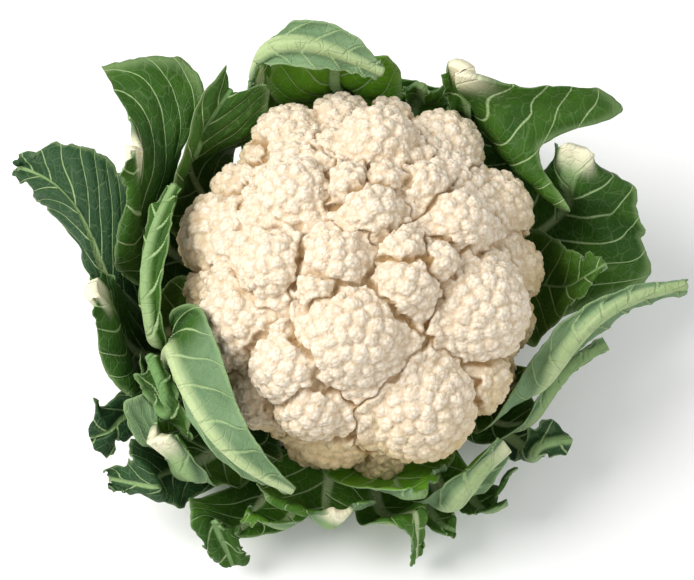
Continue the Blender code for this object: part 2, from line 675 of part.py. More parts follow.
def seat_on_stalk(row):
    """Moves a leaf's first row onto the stalk's round side, so that the base follows the curve."""
    middle = row[len(row) // 2]
    outward = unit(np.array([middle[0], middle[1], 0]))
    sideways = np.array([-outward[1], outward[0], 0])
    offset = row @ sideways
    reach = np.sqrt((STALK_RADIUS + JOINT_GAP) ** 2 - offset**2)
    return outward * reach[:, None] + sideways * offset[:, None] + np.array([0, 0, 1.0]) * row[:, 2:3]


def grid_triangles(rows, columns):
    """Two triangles for each square of a grid, leaning towards the tip on both sides of the midrib."""
    triangles = []
    for row in range(rows - 1):
        for column in range(columns - 1):
            a = row * columns + column
            b, c, d = a + 1, a + columns + 1, a + columns
            if column < columns // 2:
                triangles += [(a, b, d), (b, c, d)]
            else:
                triangles += [(a, b, c), (a, c, d)]
    return triangles


def build_leaf(name, leaf, collection):
    """One leaf: a grid bent to its upper face, thickened downwards with a weight at each point."""
    small = leaf.get("small", False)
    rows = SMALL_ROWS if small else LARGE_ROWS
    grid, shares, signed = blade_grid(leaf, rows, SMALL_COLUMNS if small else COLUMNS)
    thickness = leaf_thickness(leaf, grid, shares, signed)
    grid[0] = seat_on_stalk(grid[0])
    mesh = bpy.data.meshes.new(name)
    mesh.from_pydata((grid.reshape(-1, 3) * MM).tolist(), [], grid_triangles(rows, len(signed)))
    made = add_object(name, mesh, collection, "leaf")
    most = thickness.max()
    group = made.vertex_groups.new(name="thickness")
    for index, thick in enumerate(thickness.ravel()):
        group.add([index], thick / most, "REPLACE")
    solid = made.modifiers.new("thickness", "SOLIDIFY")
    solid.thickness = most * MM
    solid.offset = -1
    solid.vertex_group = group.name
    return made


def dome_radii(inset):
    """The half axes of the curd's dome, drawn in by inset."""
    return np.array([HEAD_HALF_WIDTH, HEAD_HALF_DEPTH, HEAD_HALF_HEIGHT]) - inset


def floret_centre(x, y, radius, depth):
    """Where a floret's ball is centred: on the drawn-in dome, where the view's line meets it."""
    radii = dome_radii(FLORET_INSET_SHARE * radius + depth)
    middle = np.array([0, 0, HEAD_CENTRE_Z])
    heights = HEAD_CENTRE_Z + radii[2] * np.linspace(1, -0.6, 400)
    places = np.array([seen(x, y, height) for height in heights])
    beyond = (((places - middle) / radii) ** 2).sum(1)
    hit = int(np.argmax(beyond <= 1)) if (beyond <= 1).any() else int(np.argmin(beyond))
    return middle + (places[hit] - middle) / math.sqrt(beyond[hit])


def lower_ring():
    """Florets round the underside of the dome, where no view line from the front is needed."""
    for i in range(LOWER_RING_COUNT):
        angle = 2 * math.pi * i / LOWER_RING_COUNT
        inset = FLORET_INSET_SHARE * LOWER_RING_RADIUS + 8 + 3 * (i % 2)
        x = (HEAD_HALF_WIDTH - inset) * math.cos(angle)
        y = (HEAD_HALF_DEPTH - inset) * math.sin(angle)
        yield np.array([x, y, HEAD_CENTRE_Z - LOWER_RING_DROP + 4 * (i % 3) - 4]), LOWER_RING_RADIUS


def floret_balls():
    """Every ball that the curd's surface runs over: the florets, and the lobes that stand out of each."""
    florets = [(floret_centre(*row), row[2]) for row in FLORETS] + list(lower_ring())
    middle = np.array([0, 0, HEAD_CENTRE_Z - 30])
    balls = []
    for number, (centre, radius) in enumerate(florets):
        balls.append((centre, radius * BALL_SHARE))
        axis = unit(centre - middle)
        side = unit(np.cross(axis, [0.3, 0.5, 0.8]))
        other = np.cross(axis, side)
        for i in range(LOBES_PER_FLORET):
            polar = math.acos(1 - 1.15 * (i + 0.5) / LOBES_PER_FLORET)
            turn = GOLDEN_ANGLE * i + number
            way = math.cos(polar) * axis + math.sin(polar) * (math.cos(turn) * side + math.sin(turn) * other)
            lobe = LOBE_SHARE * radius
            balls.append((centre + way * (radius - LOBE_SINK * lobe), lobe))
    return balls


def core_reach(ways):
    """How far the curd's solid core reaches from the head's middle in each direction."""
    radii = dome_radii(0) * CORE_SHARE
    below = ways[:, 2] < 0
    height = np.where(below, radii[2] * CORE_BELOW_SHARE, radii[2])
    flat = (ways[:, 0] / radii[0]) ** 2 + (ways[:, 1] / radii[1]) ** 2
    return 1 / np.sqrt(flat + (ways[:, 2] / height) ** 2)


def curd_reach(ways):
    """How far the curd reaches from the head's middle: over the core and every ball."""
    middle = np.array([0, 0, HEAD_CENTRE_Z])
    reach = core_reach(ways)
    for centre, radius in floret_balls():
        from_middle = centre - middle
        along = ways @ from_middle
        inside = radius**2 - from_middle @ from_middle + along**2
        out = np.where(inside > 0, along + np.sqrt(np.maximum(inside, 0)), 0)
        reach = np.maximum(reach, out)
    drop = HEAD_CENTRE_Z - STALK_HEIGHT - JOINT_GAP
    spread = np.linalg.norm(ways[:, :2], axis=1)
    flat = np.maximum(-ways[:, 2], 1e-6)
    sloping = np.maximum(UNDERSIDE_SLOPE * spread - ways[:, 2], 1e-6)
    return np.minimum(reach, np.minimum(drop / flat, (drop + UNDERSIDE_SLOPE * CURD_FOOT_RADIUS) / sloping))


def crowd_upwards(ways):
    """Turns directions towards straight up, so that the part that shows has more of the mesh."""
    polar = np.arccos(np.clip(ways[:, 2], -1, 1))
    turned = polar - CROWDING * np.sin(polar)
    flat = ways[:, :2] / np.maximum(np.linalg.norm(ways[:, :2], axis=1, keepdims=True), 1e-9)
    return np.column_stack([flat * np.sin(turned)[:, None], np.cos(turned)])


def build_curd(collection):
    """The head of florets: a ball drawn out each way as far as the florets reach, with a flat foot."""
    shape = bmesh.new()
    bmesh.ops.create_icosphere(shape, subdivisions=ICOSPHERE_LEVEL, radius=1)
    ways = crowd_upwards(unit(np.array([v.co[:] for v in shape.verts])))
    points = ways * curd_reach(ways)[:, None] + np.array([0, 0, HEAD_CENTRE_Z])
    for vertex, place in zip(shape.verts, points):
        vertex.co = place * MM
    mesh = bpy.data.meshes.new("curd")
    shape.to_mesh(mesh)
    shape.free()
    return add_object("curd", mesh, collection, "curd")


def build_stalk(collection):
    """The cut stump, turned round the axis from a profile that runs down its outer side."""
    profile = [
        (0, STALK_HEIGHT),
        (STALK_RADIUS, STALK_HEIGHT),
        (STALK_RADIUS, STALK_CHAMFER),
        (STALK_FOOT_RADIUS, 0),
        (0, 0),
    ]
    mesh = bpy.data.meshes.new("stalk")
    corners = [(x * MM, 0, z * MM) for x, z in profile]
    mesh.from_pydata(corners, [(i, i + 1) for i in range(len(corners) - 1)], [])
    made = add_object("stalk", mesh, collection, "stalk")
    turned = made.modifiers.new("turned", "SCREW")
    turned.steps = STALK_SIDES
    turned.render_steps = STALK_SIDES
    turned.use_merge_vertices = True
    turned.merge_threshold = 0.00005
    return made


def main():
    for old in list(bpy.data.objects):
        bpy.data.objects.remove(old)
    collection = bpy.data.collections.new("cauliflower")
    bpy.context.scene.collection.children.link(collection)
    build_stalk(collection)
    build_curd(collection)
    for name, leaf in LEAVES.items():
        build_leaf(name, leaf, collection)


main()
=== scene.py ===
"""The look of a trimmed cauliflower: a finely lobed curd in a collar of veined, waved and cut leaves.

The leaves and the florets come from the same named shapes as their solids. Lengths are in millimetres and
angles in degrees, and MM turns them into metres where a mesh is made.
"""

import math

import bmesh
import bpy
import numpy as np
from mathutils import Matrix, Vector


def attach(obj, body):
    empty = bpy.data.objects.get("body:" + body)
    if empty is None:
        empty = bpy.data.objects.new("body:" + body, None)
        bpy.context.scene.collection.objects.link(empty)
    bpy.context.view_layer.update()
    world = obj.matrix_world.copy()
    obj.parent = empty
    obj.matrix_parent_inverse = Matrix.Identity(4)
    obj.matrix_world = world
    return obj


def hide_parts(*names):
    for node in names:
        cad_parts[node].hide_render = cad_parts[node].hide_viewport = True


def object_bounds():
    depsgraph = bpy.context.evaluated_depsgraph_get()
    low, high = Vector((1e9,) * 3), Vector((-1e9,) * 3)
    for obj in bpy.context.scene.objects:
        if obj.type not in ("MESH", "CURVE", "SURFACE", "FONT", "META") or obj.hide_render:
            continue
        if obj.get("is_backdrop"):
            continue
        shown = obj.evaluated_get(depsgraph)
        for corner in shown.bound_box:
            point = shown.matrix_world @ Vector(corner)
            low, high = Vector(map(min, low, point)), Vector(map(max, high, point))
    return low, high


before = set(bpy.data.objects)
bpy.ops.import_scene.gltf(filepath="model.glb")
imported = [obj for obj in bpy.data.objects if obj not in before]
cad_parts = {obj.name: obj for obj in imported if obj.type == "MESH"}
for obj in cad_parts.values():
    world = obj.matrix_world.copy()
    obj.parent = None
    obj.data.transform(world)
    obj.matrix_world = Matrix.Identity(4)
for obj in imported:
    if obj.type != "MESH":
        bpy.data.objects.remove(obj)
CAD_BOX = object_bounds()

MM = 0.001
BODY = "root"
IMAGE_WIDTH = 694
IMAGE_HEIGHT = 580

# The stalk: a short round stump that the leaves and the curd grow from.
STALK_RADIUS = 20.0
STALK_HEIGHT = 36.0
JOINT_GAP = 0.35

# Places that show in a view of the whole head are given as (x, y, height): x to the right and y down in that
# view, in units of VIEW_UNIT, and height above the bench. The view looks back over the head from the front.
VIEW_ELEVATION = 66.0
VIEW_DISTANCE = 1000.0
VIEW_UNIT = 0.438
VIEW_MIDDLE = (362, 284)
VIEW_AIM_HEIGHT = 70.0

# The curd: florets set on an egg-shaped dome.
HEAD_HALF_WIDTH = 80.5
HEAD_HALF_DEPTH = 88.0
HEAD_HALF_HEIGHT = 64.0
HEAD_CENTRE_Z = 72.0
CORE_SHARE = 0.80
CORE_BELOW_SHARE = 0.62
CURD_FOOT_RADIUS = 19.0
UNDERSIDE_SLOPE = 0.30
FLORET_INSET_SHARE = 0.80
ICOSPHERE_LEVEL = 5
LOWER_RING_COUNT = 13
LOWER_RING_RADIUS = 15.0
LOWER_RING_DROP = 24.0
GOLDEN_ANGLE = math.radians(137.508)

# Florets: x and y in the view, radius, and how far each lies below its neighbours.
FLORETS = [
    (371, 213, 15, 0),
    (350, 186, 11, 0),
    (424, 188, 12, 0),
    (402, 250, 11, 0),
    (337, 264, 15, 0),
    (405, 284, 15, 0),
    (297, 196, 17, 0),
    (375, 147, 18, 0),
    (455, 224, 16, 0),
    (277, 268, 16, 0),
    (440, 153, 20, 1),
    (290, 143, 20, 1),
    (350, 334, 25, 0),
    (469, 310, 26, 0),
    (221, 236, 22, 1),
    (243, 325, 20, 1),
    (291, 366, 18, 0),
    (501, 206, 20, 2),
    (337, 108, 18, 3),
    (389, 110, 13, 3),
    (417, 400, 27, 0),
    (472, 378, 17, 2),
    (310, 403, 16, 1),
    (262, 396, 15, 2),
    (330, 452, 22, 7),
    (394, 457, 17, 7),
    (520, 270, 18, 4),
    (522, 325, 16, 6),
    (207, 170, 17, 5),
    (248, 131, 15, 5),
    (195, 293, 14, 5),
    (318, 290, 10, 0),
    (385, 180, 9, 0),
    (437, 262, 10, 0),
]


def about(azimuth, radius, height):
    """A place given about the stalk's axis, as x, y, z."""
    angle = math.radians(azimuth)
    return (radius * math.cos(angle), radius * math.sin(angle), height)


def seen(x, y, height):
    """The x, y, z of a place seen at (x, y) in the view that stands at this height above the bench."""
    tilt = math.radians(VIEW_ELEVATION)
    above = height - VIEW_AIM_HEIGHT
    across = (x - VIEW_MIDDLE[0]) * VIEW_UNIT
    up = (VIEW_MIDDLE[1] - y) * VIEW_UNIT
    back = 0.0
    for _ in range(4):
        nearness = 1 - (above * math.sin(tilt) - back * math.cos(tilt)) / VIEW_DISTANCE
        back = (up * nearness - above * math.cos(tilt)) / math.sin(tilt)
    return (across * nearness, back, height)


def petiole(root, azimuth, layer):
    """The midrib's first points: on the stalk, then out under the curd. Layer 1 is the highest."""
    start = {1: 31.0, 2: 23.0, 3: 15.0, 4: 7.8}[layer]
    out = {1: (50, 36.5), 2: (52, 26.5), 3: (55, 17), 4: (58, 9)}[layer]
    return [about(root, STALK_RADIUS + JOINT_GAP, start), about(azimuth, *out)]


# Leaves. A leaf is a midrib that starts on the stalk, and a blade on each side of it. The skirt is how many
# degrees the blade spreads to its right and to its left where it comes out from under the curd. Beyond that,
# an edge row holds a share of the rest of the midrib, where the blade's rim is beside that place, and how far
# the blade between them bows to its upper face. The rim is a place, or (width, rise): how far it is from the
# midrib, and how many degrees it rises. Right and left are those of someone looking at the upper face with
# the tip up. A roll turns the blade about the midrib. Easing is how many times a row moves towards its
# neighbours, which keeps the rows of a tightly bent blade apart.
BASE_WIDTH = 8.0
BLADE_THICKNESS = 0.9
RIM_THICKNESS = 0.7
RIB_DEPTH_BASE = 6.5
RIB_DEPTH_SHARE = 0.42
GROOVE_DEPTH = 0.7
WING = 1.0
LEAST_BLADE = 1.6
LEAST_RIB = 1.3
SKIRT_START = 0.45
SKIRT_RISE = 2.0
EASING = 1
BEND_SHARE = 0.24
COLUMNS = (0.0, 0.35, 0.7, 1.0)
SMALL_COLUMNS = (0.0, 0.5, 1.0)

LEAVES = {
    "leaf_back_folded": dict(
        spine=petiole(121, 118, 1) + [about(117, 82, 46), about(120, 96, 74), seen(263, 90, 94),
            seen(260, 64, 112), seen(272, 42, 128), seen(300, 40, 134), seen(340, 52, 130),
            seen(384, 72, 121)],
        right=[(0.19, (12, 0), 0), (0.40, (8, 0), 0), (0.56, (5, 0), 0), (0.70, (12, 0), 1),
            (0.86, (12, 0), 1), (1.00, (3, 0), 0)],
        left=[(0.19, (10, 0), 0), (0.40, (6, 0), 0), (0.56, (4, 0), 0), (0.70, (13, 0), 1),
            (0.86, (9, 0), 1), (1.00, (2, 0), 0)],
        rib=(12, 3), skirt=(10, 12), roll=[(0.6, 0), (0.78, -90), (1.0, -100)], wave=(1.0, 3),
    ),
    "leaf_back_inner": dict(
        spine=petiole(92, 93, 1) + [about(93, 84, 48), about(94, 95, 72), seen(335, 92, 84),
            seen(336, 54, 107)],
        right=[(0.16, about(80, 92, 60), 0), (0.58, seen(392, 105, 78), 1), (0.83, seen(398, 74, 94), 1),
            (1.00, seen(380, 56, 106), 0)],
        left=[(0.16, about(104, 93, 60), 0), (0.58, seen(284, 105, 82), 1), (0.83, seen(270, 72, 102), 1),
            (1.00, seen(290, 56, 108), 0)],
        rib=(10, 3), skirt=(14, 10), wave=(1.0, 3),
    ),
    "leaf_back_small": dict(
        spine=petiole(78, 78, 2) + [about(78, 90, 30), about(76, 103, 52), seen(420, 104, 66),
            seen(420, 90, 84)],
        right=[(0.18, about(68, 104, 54), 0), (0.57, seen(450, 108, 66), 2), (0.83, seen(450, 88, 82), 2),
            (1.00, seen(436, 78, 88), 1)],
        left=[(0.18, about(88, 104, 56), 0), (0.65, seen(402, 102, 72), 2), (1.00, seen(402, 84, 86), 1)],
        rib=(11, 7), skirt=(18, 22), easing=0, wave=(1.6, 3), small=True,
    ),
    "leaf_back_right": dict(
        spine=petiole(60, 61, 1) + [about(61, 82, 46), about(60, 94, 68), seen(470, 122, 80),
            seen(460, 72, 114)],
        right=[(0.14, about(40, 92, 56), 0), (0.37, about(33, 94, 68), 2), (0.59, seen(572, 210, 88), 3),
            (0.74, seen(545, 145, 94), 3), (0.87, seen(624, 112, 92), 3), (1.00, seen(600, 86, 102), 4)],
        left=[(0.26, about(70, 91, 62), 0), (0.63, seen(450, 118, 78), 0), (1.00, seen(446, 76, 108), 0)],
        rib=(12, 13), skirt=(24, 13), easing=0, wave=(1.6, 3),
    ),
    "leaf_right_upper": dict(
        spine=petiole(27, 27, 2) + [about(27, 86, 32), about(25, 103, 60), seen(568, 190, 75),
            seen(578, 150, 90)],
        right=[(0.14, about(2, 106, 40), 2), (0.39, seen(650, 278, 48), 5), (0.62, seen(642, 232, 60), -3),
            (0.83, seen(632, 188, 73), 4), (1.00, seen(602, 165, 79), -1)],
        left=[(0.21, about(43, 104, 50), 0), (0.62, seen(543, 174, 64), 1), (1.00, seen(548, 148, 85), 0)],
        rib=(13, 15), skirt=(28, 22), roll=[(0.6, 0), (1.0, -60)], easing=0, wave=(3.0, 2.5),
    ),
    "leaf_right_small": dict(
        spine=petiole(18, 10, 1) + [about(8, 82, 45), about(1, 90, 62), seen(578, 278, 76),
            seen(606, 262, 84)],
        right=[(0.20, (22, 0), 0), (0.60, (16, -10), 1), (1.0, (4, 0), 0)],
        left=[(0.20, (24, 18), 0), (0.60, (15, 25), 1), (1.0, (4, 0), 0)],
        rib=(10, 3), skirt=(26, 24), wave=(1.4, 4), small=True,
    ),
    "leaf_right_long": dict(
        spine=petiole(334, 330, 1) + [about(330, 81, 45), about(330, 88, 62), seen(548, 372, 78),
            seen(580, 325, 92), seen(618, 298, 98), seen(655, 290, 94), seen(688, 284, 88)],
        right=[(0.20, about(318, 84, 62), 0), (0.38, seen(540, 345, 86), 2), (0.57, seen(572, 300, 98), 2),
            (0.72, seen(618, 288, 102), 0), (0.88, seen(655, 282, 96), 0), (1.00, seen(690, 281, 88), 0)],
        left=[(0.20, (8, 0), 0), (0.38, (10, 0), 0), (0.57, seen(584, 340, 82), 0),
            (0.72, seen(612, 312, 90), -1), (0.88, seen(655, 298, 88), -1), (1.00, seen(688, 289, 86), 0)],
        rib=(11, 2.5), skirt=(23, 8), roll=[(0.5, 0), (0.7, 50), (1.0, 65)], easing=3, wave=(1.2, 5),
    ),
    "leaf_right_strip": dict(
        spine=petiole(328, 320, 2) + [about(321, 82, 29), about(322, 91, 42), seen(540, 404, 50),
            seen(568, 362, 55), seen(608, 344, 61)],
        right=[(0.16, (10, 0), 0), (0.45, (7, 5), 0), (0.75, (6, 5), 1), (1.0, (2, 0), 0)],
        left=[(0.16, (9, -15), 0), (0.45, (7, -10), 0), (0.75, (7, 0), 1), (1.0, (2, 0), 0)],
        rib=(10, 2.5), skirt=(12, 18), roll=[(0.6, 0), (0.8, 50), (1.0, 60)], easing=3, wave=(1.0, 4),
    ),
    "leaf_front_right_stub": dict(
        spine=petiole(296, 294, 2) + [about(293, 88, 28), about(293, 102, 46), seen(474, 466, 60),
            seen(504, 443, 63)],
        right=[(0.2, (14, 8), 0), (0.6, (11, 15), 1), (1.0, (8, 10), 0)],
        left=[(0.2, (16, 0), 0), (0.6, (12, -15), 1), (1.0, (9, -10), 0)],
        rib=(12, 9), skirt=(10, 11), wave=(1.6, 3), small=True,
    ),
    "leaf_front_right_wing": dict(
        spine=petiole(325, 322, 3) + [about(322, 92, 18), about(319, 105, 30), seen(526, 446, 42),
            seen(572, 440, 37)],
        right=[(0.2, (9, 0), 0), (0.5, (12, 0), 1), (0.75, (11, 5), 2), (1.0, (14, 0), 1)],
        left=[(0.2, (8, 0), 0), (0.6, (7, 0), 0), (1.0, (7, 0), 0)],
        rib=(11, 3), skirt=(6, 6), roll=[(0.6, 0), (0.8, 50)], easing=3, wave=(0.8, 3),
    ),
    "leaf_front_bright": dict(
        spine=petiole(286, 281, 1) + [about(280, 84, 45), about(281, 93, 60), seen(424, 488, 68)],
        right=[(0.2, (26, 9), 0), (0.6, (15, 12), 1), (1.0, (6, 0), 1)],
        left=[(0.2, (24, 9), 0), (0.6, (19, 15), 2), (1.0, (9, 0), 1)],
        rib=(11, 7), skirt=(26, 22), wave=(1.2, 4), small=True,
    ),
    "leaf_front_right_low": dict(
        spine=petiole(316, 303, 4) + [about(302, 92, 12), about(302, 107, 32), seen(508, 498, 30)],
        right=[(0.2, (9, 5), 0), (0.6, (12, -5), 1), (1.0, (8, 0), 0)],
        left=[(0.2, (12, 5), 0), (0.6, seen(514, 472, 31), 2), (1.0, seen(524, 492, 29), 1)],
        rib=(11, 5), skirt=(4, 3), wave=(2.0, 3), small=True,
    ),
    "leaf_front_low": dict(
        spine=petiole(286, 288, 4) + [about(290, 90, 11), about(291, 104, 25), seen(462, 532, 22)],
        right=[(0.2, (6, 5), 0), (0.6, (8, 0), 1), (1.0, (6, 0), 0)],
        left=[(0.2, (7, 5), 0), (0.6, (9, 5), 1), (1.0, (7, 0), 0)],
        rib=(10, 4), skirt=(3, 4), wave=(1.4, 3), small=True,
    ),
    "leaf_front_strap": dict(
        spine=petiole(276, 274, 3) + [about(276, 90, 19), about(280, 95, 34), seen(418, 506, 46),
            seen(419, 524, 38), seen(419, 545, 22), seen(418, 563, 9)],
        right=[(0.14, (18, 8), 0), (0.34, (20, 5), 1), (0.52, (9, 0), 1), (0.75, (7, 0), 1),
            (1.0, (6, 0), 0)],
        left=[(0.14, (12, 8), 0), (0.34, (8, 0), 1), (0.52, (8, 0), 1), (0.75, (7, 0), 1),
            (1.0, (5, 0), 0)],
        rib=(11, 4), skirt=(8, 12), wave=(1.0, 3),
    ),
    "leaf_front_left": dict(
        spine=petiole(262, 259, 2) + [about(259, 88, 28), about(262, 101, 45), seen(338, 508, 58)],
        right=[(0.16, about(243, 98, 46), 0), (0.40, seen(262, 486, 56), 1), (0.62, seen(236, 482, 52), 2),
            (0.82, seen(262, 505, 46), 2), (1.0, seen(306, 520, 48), 1)],
        left=[(0.2, about(272, 98, 44), 0), (0.60, seen(385, 492, 52), 1), (1.0, seen(362, 504, 56), 1)],
        rib=(12, 9), skirt=(23, 15), easing=3, wave=(1.2, 3),
    ),
    "leaf_wrap": dict(
        spine=petiole(230, 219, 1) + [about(214, 82, 44), about(207, 91, 62), seen(174, 350, 85),
            seen(192, 392, 94), seen(215, 432, 94), seen(250, 466, 87), seen(297, 490, 76)],
        right=[(0.15, about(200, 84, 66), 0), (0.26, seen(172, 310, 94), 2), (0.38, seen(200, 304, 110), 2),
            (0.53, seen(220, 350, 112), 1), (0.69, seen(238, 405, 106), 1), (0.85, seen(268, 450, 96), 1),
            (1.00, seen(302, 488, 79), 0)],
        left=[(0.15, about(222, 90, 60), 0), (0.29, about(214, 95, 70), 0), (0.44, seen(180, 378, 82), 0),
            (0.62, seen(205, 444, 82), 0), (0.79, seen(244, 474, 78), 0), (1.00, seen(294, 495, 72), 0)],
        rib=(11, 3), skirt=(9, 32), easing=0, wave=(1.0, 4),
    ),
    "leaf_low_front_left": dict(
        spine=petiole(256, 243, 4) + [about(241, 94, 12), about(240, 114, 25), seen(208, 514, 36),
            seen(224, 544, 25), seen(234, 570, 12)],
        right=[(0.14, about(229, 112, 25), 2), (0.35, seen(183, 497, 40), 2), (0.63, seen(192, 534, 30), 2),
            (0.84, seen(214, 554, 18), 2), (1.00, seen(210, 571, 11), 0)],
        left=[(0.14, about(249, 109, 20), 1), (0.35, seen(228, 518, 32), 2), (0.67, seen(246, 542, 24), 2),
            (1.00, seen(256, 566, 11), 0)],
        rib=(12, 3.5), skirt=(8, 14), wave=(2.2, 3.5),
    ),
    "leaf_front_left_curl": dict(
        spine=petiole(247, 250, 3) + [about(251, 92, 20), about(250, 107, 32), seen(240, 501, 49),
            seen(240, 520, 42)],
        right=[(0.2, (12, 10), 0), (0.6, (7, 0), 0), (1.0, (6, 0), 0)],
        left=[(0.2, (9, 10), 0), (0.6, (9, 5), 1), (1.0, (7, 0), 1)],
        rib=(10, 3), skirt=(8, 5), wave=(0.4, 3), small=True,
    ),
    "leaf_left_loop": dict(
        spine=petiole(218, 222, 3) + [about(222, 92, 20), about(224, 108, 44), seen(186, 470, 56),
            seen(163, 432, 70)],
        right=[(0.14, about(210, 108, 44), 1), (0.49, seen(140, 448, 54), 3), (0.79, seen(122, 408, 66), 5),
            (1.00, seen(142, 392, 74), 4)],
        left=[(0.2, (22, 10), 0), (0.6, (14, 15), 1), (1.0, (10, 10), 1)],
        rib=(12, 13), skirt=(12, 14), easing=0, wave=(1.4, 3),
    ),
    "leaf_left_middle": dict(
        spine=petiole(207, 207, 2) + [about(206, 88, 30), about(207, 103, 56), seen(172, 412, 72),
            seen(150, 352, 84)],
        right=[(0.26, about(196, 102, 58), 0), (0.67, seen(140, 380, 74), 2),
            (1.00, seen(146, 350, 82), 0)],
        left=[(0.26, about(220, 102, 56), 0), (0.67, seen(198, 440, 70), 1), (1.00, seen(160, 356, 84), 0)],
        rib=(11, 3), skirt=(7, 22), easing=0, wave=(1.6, 3), small=True,
    ),
    "leaf_low_left": dict(
        spine=petiole(226, 223, 4) + [about(221, 94, 11), about(220, 116, 31), seen(160, 486, 44),
            seen(102, 478, 32)],
        right=[(0.14, about(212, 114, 34), 1), (0.36, seen(130, 438, 48), 2),
            (0.68, seen(122, 456, 46), -1), (1.00, seen(98, 474, 34), 0)],
        left=[(0.14, about(228, 112, 24), 1), (0.36, seen(180, 513, 30), 2), (0.68, seen(142, 500, 32), 2),
            (1.00, seen(104, 484, 28), 0)],
        rib=(12, 3), skirt=(8, 8), roll=[(0.65, 0), (0.85, 45), (1.0, 70)], easing=0, wave=(2.2, 4),
    ),
    "leaf_low_left_outer": dict(
        spine=petiole(196, 202, 4) + [about(203, 94, 11), about(203, 118, 32), seen(112, 440, 35),
            seen(84, 440, 33)],
        right=[(0.2, (14, 15), 0), (0.6, (14, 10), 1), (1.0, (13, -10), 0)],
        left=[(0.2, (14, -5), 0), (0.6, (16, 0), 1), (1.0, (12, 0), 0)],
        rib=(11, 3), skirt=(12, 7), wave=(1.8, 3), small=True,
    ),
    "leaf_left_stub": dict(
        spine=petiole(188, 189, 3) + [about(190, 92, 20), about(190, 106, 52), seen(118, 312, 74),
            seen(98, 288, 88)],
        right=[(0.21, about(178, 106, 52), 0), (0.61, seen(116, 282, 80), 1), (1.0, (12, 15), 0)],
        left=[(0.17, about(202, 108, 46), 1), (0.41, seen(138, 402, 54), 2), (0.65, seen(110, 388, 58), 2),
            (0.84, seen(98, 345, 68), 2), (1.0, (10, -30), 0)],
        rib=(12, 13), skirt=(12, 9), wave=(1.8, 3),
    ),
    "leaf_far_left": dict(
        spine=petiole(166, 172, 4) + [about(174, 94, 13), about(176, 114, 44), seen(98, 252, 60),
            seen(80, 202, 70), seen(46, 174, 68), seen(12, 165, 58)],
        right=[(0.15, about(165, 110, 44), 1), (0.32, seen(130, 230, 68), 2), (0.48, seen(132, 168, 76), 3),
            (0.64, seen(110, 142, 80), 3), (0.84, seen(52, 138, 74), 2), (1.00, seen(12, 158, 60), 0)],
        left=[(0.15, about(184, 112, 40), 1), (0.35, seen(84, 272, 50), 2), (0.58, seen(60, 212, 58), -2),
            (0.80, seen(26, 198, 56), 1), (1.00, seen(10, 170, 56), 0)],
        rib=(12, 2.5), skirt=(14, 11), roll=[(0.45, 0), (0.58, 60), (0.7, 85), (1.0, 95)], easing=2,
        wave=(2.6, 4),
    ),
    "leaf_upper_left": dict(
        spine=petiole(160, 160, 2) + [about(160, 88, 30), about(161, 103, 56), seen(142, 230, 78),
            seen(144, 180, 98), seen(138, 146, 110)],
        right=[(0.18, about(149, 103, 57), 1), (0.38, seen(171, 177, 87), 1), (0.59, seen(216, 108, 99), 2),
            (0.76, seen(222, 42, 103), 3), (0.90, seen(146, 40, 100), 2), (1.00, seen(98, 70, 98), 2)],
        left=[(0.18, about(172, 104, 54), 1), (0.42, seen(106, 278, 68), 3), (0.62, seen(118, 240, 82), 3),
            (0.83, seen(132, 200, 96), 1), (1.0, (9, -30), 0)],
        rib=(12, 11), skirt=(26, 17), easing=3, wave=(1.8, 3),
    ),
    "leaf_upper_inner": dict(
        spine=petiole(150, 146, 1) + [about(145, 82, 45), about(144, 94, 66), seen(196, 152, 90),
            seen(232, 88, 106)],
        right=[(0.25, about(132, 92, 62), 0), (0.54, seen(240, 144, 81), 0), (0.79, seen(261, 111, 94), 1),
            (1.00, seen(254, 86, 108), 0)],
        left=[(0.25, about(158, 91, 62), 0), (0.54, seen(178, 196, 90), 1), (0.79, seen(202, 118, 104), 1),
            (1.00, seen(228, 76, 108), 0)],
        rib=(11, 3), skirt=(11, 17), roll=[(0.75, 0), (0.88, 35), (1.0, 80)], wave=(1.4, 3),
    ),
    "leaf_left_inner": dict(
        spine=petiole(184, 185, 1) + [about(187, 82, 45), about(193, 91, 62), seen(158, 340, 80),
            seen(148, 288, 92), seen(156, 232, 98), seen(178, 184, 100)],
        right=[(0.25, about(182, 90, 62), 0), (0.44, seen(142, 322, 82), 0), (0.66, seen(138, 272, 88), 0),
            (0.84, seen(154, 212, 92), 0), (1.00, seen(176, 180, 97), 0)],
        left=[(0.25, (9, 0), 0), (0.44, (8, 0), 0), (0.66, seen(164, 262, 102), 1),
            (0.84, seen(180, 214, 104), 1), (1.00, seen(183, 186, 101), 0)],
        rib=(11, 3.5), skirt=(18, 11), wave=(1.2, 4),
    ),
    "leaf_low_back": dict(
        spine=petiole(88, 88, 3) + [about(88, 92, 19), about(87, 112, 42), about(86, 116, 56)],
        right=[(0.14, about(65, 106, 30), 2), (0.48, about(62, 114, 44), 3), (1.00, about(72, 119, 56), 2)],
        left=[(0.14, about(109, 106, 30), 2), (0.48, about(112, 114, 44), 3),
            (1.00, about(100, 119, 56), 2)],
        rib=(12, 7), skirt=(20, 20), easing=0, wave=(2.2, 3), small=True,
    ),
}

LARGE_ROWS = 15
SMALL_ROWS = 10


def line_lengths(points):
    """How far along a line of points each one lies."""
    return np.concatenate([[0], np.cumsum(np.linalg.norm(np.diff(points, axis=0), axis=1))])


def smooth_curve(points, at):
    """A flowing curve through points spaced by their own distances, read at shares of its length."""
    points = np.asarray(points, float)
    knots = line_lengths(points)
    knots = knots / knots[-1]
    return hermite(knots, points, np.gradient(points, knots, axis=0), at)


def level_slopes(knots, points):
    """Slopes that keep a curve from swinging out past its own points."""
    chords = np.diff(points, axis=0) / np.diff(knots)[:, None]
    before, after = chords[:-1], chords[1:]
    together = before * after > 0
    middle = np.where(together, 2 * before * after / np.where(together, before + after, 1), 0)
    return np.concatenate([chords[:1], middle, chords[-1:]])


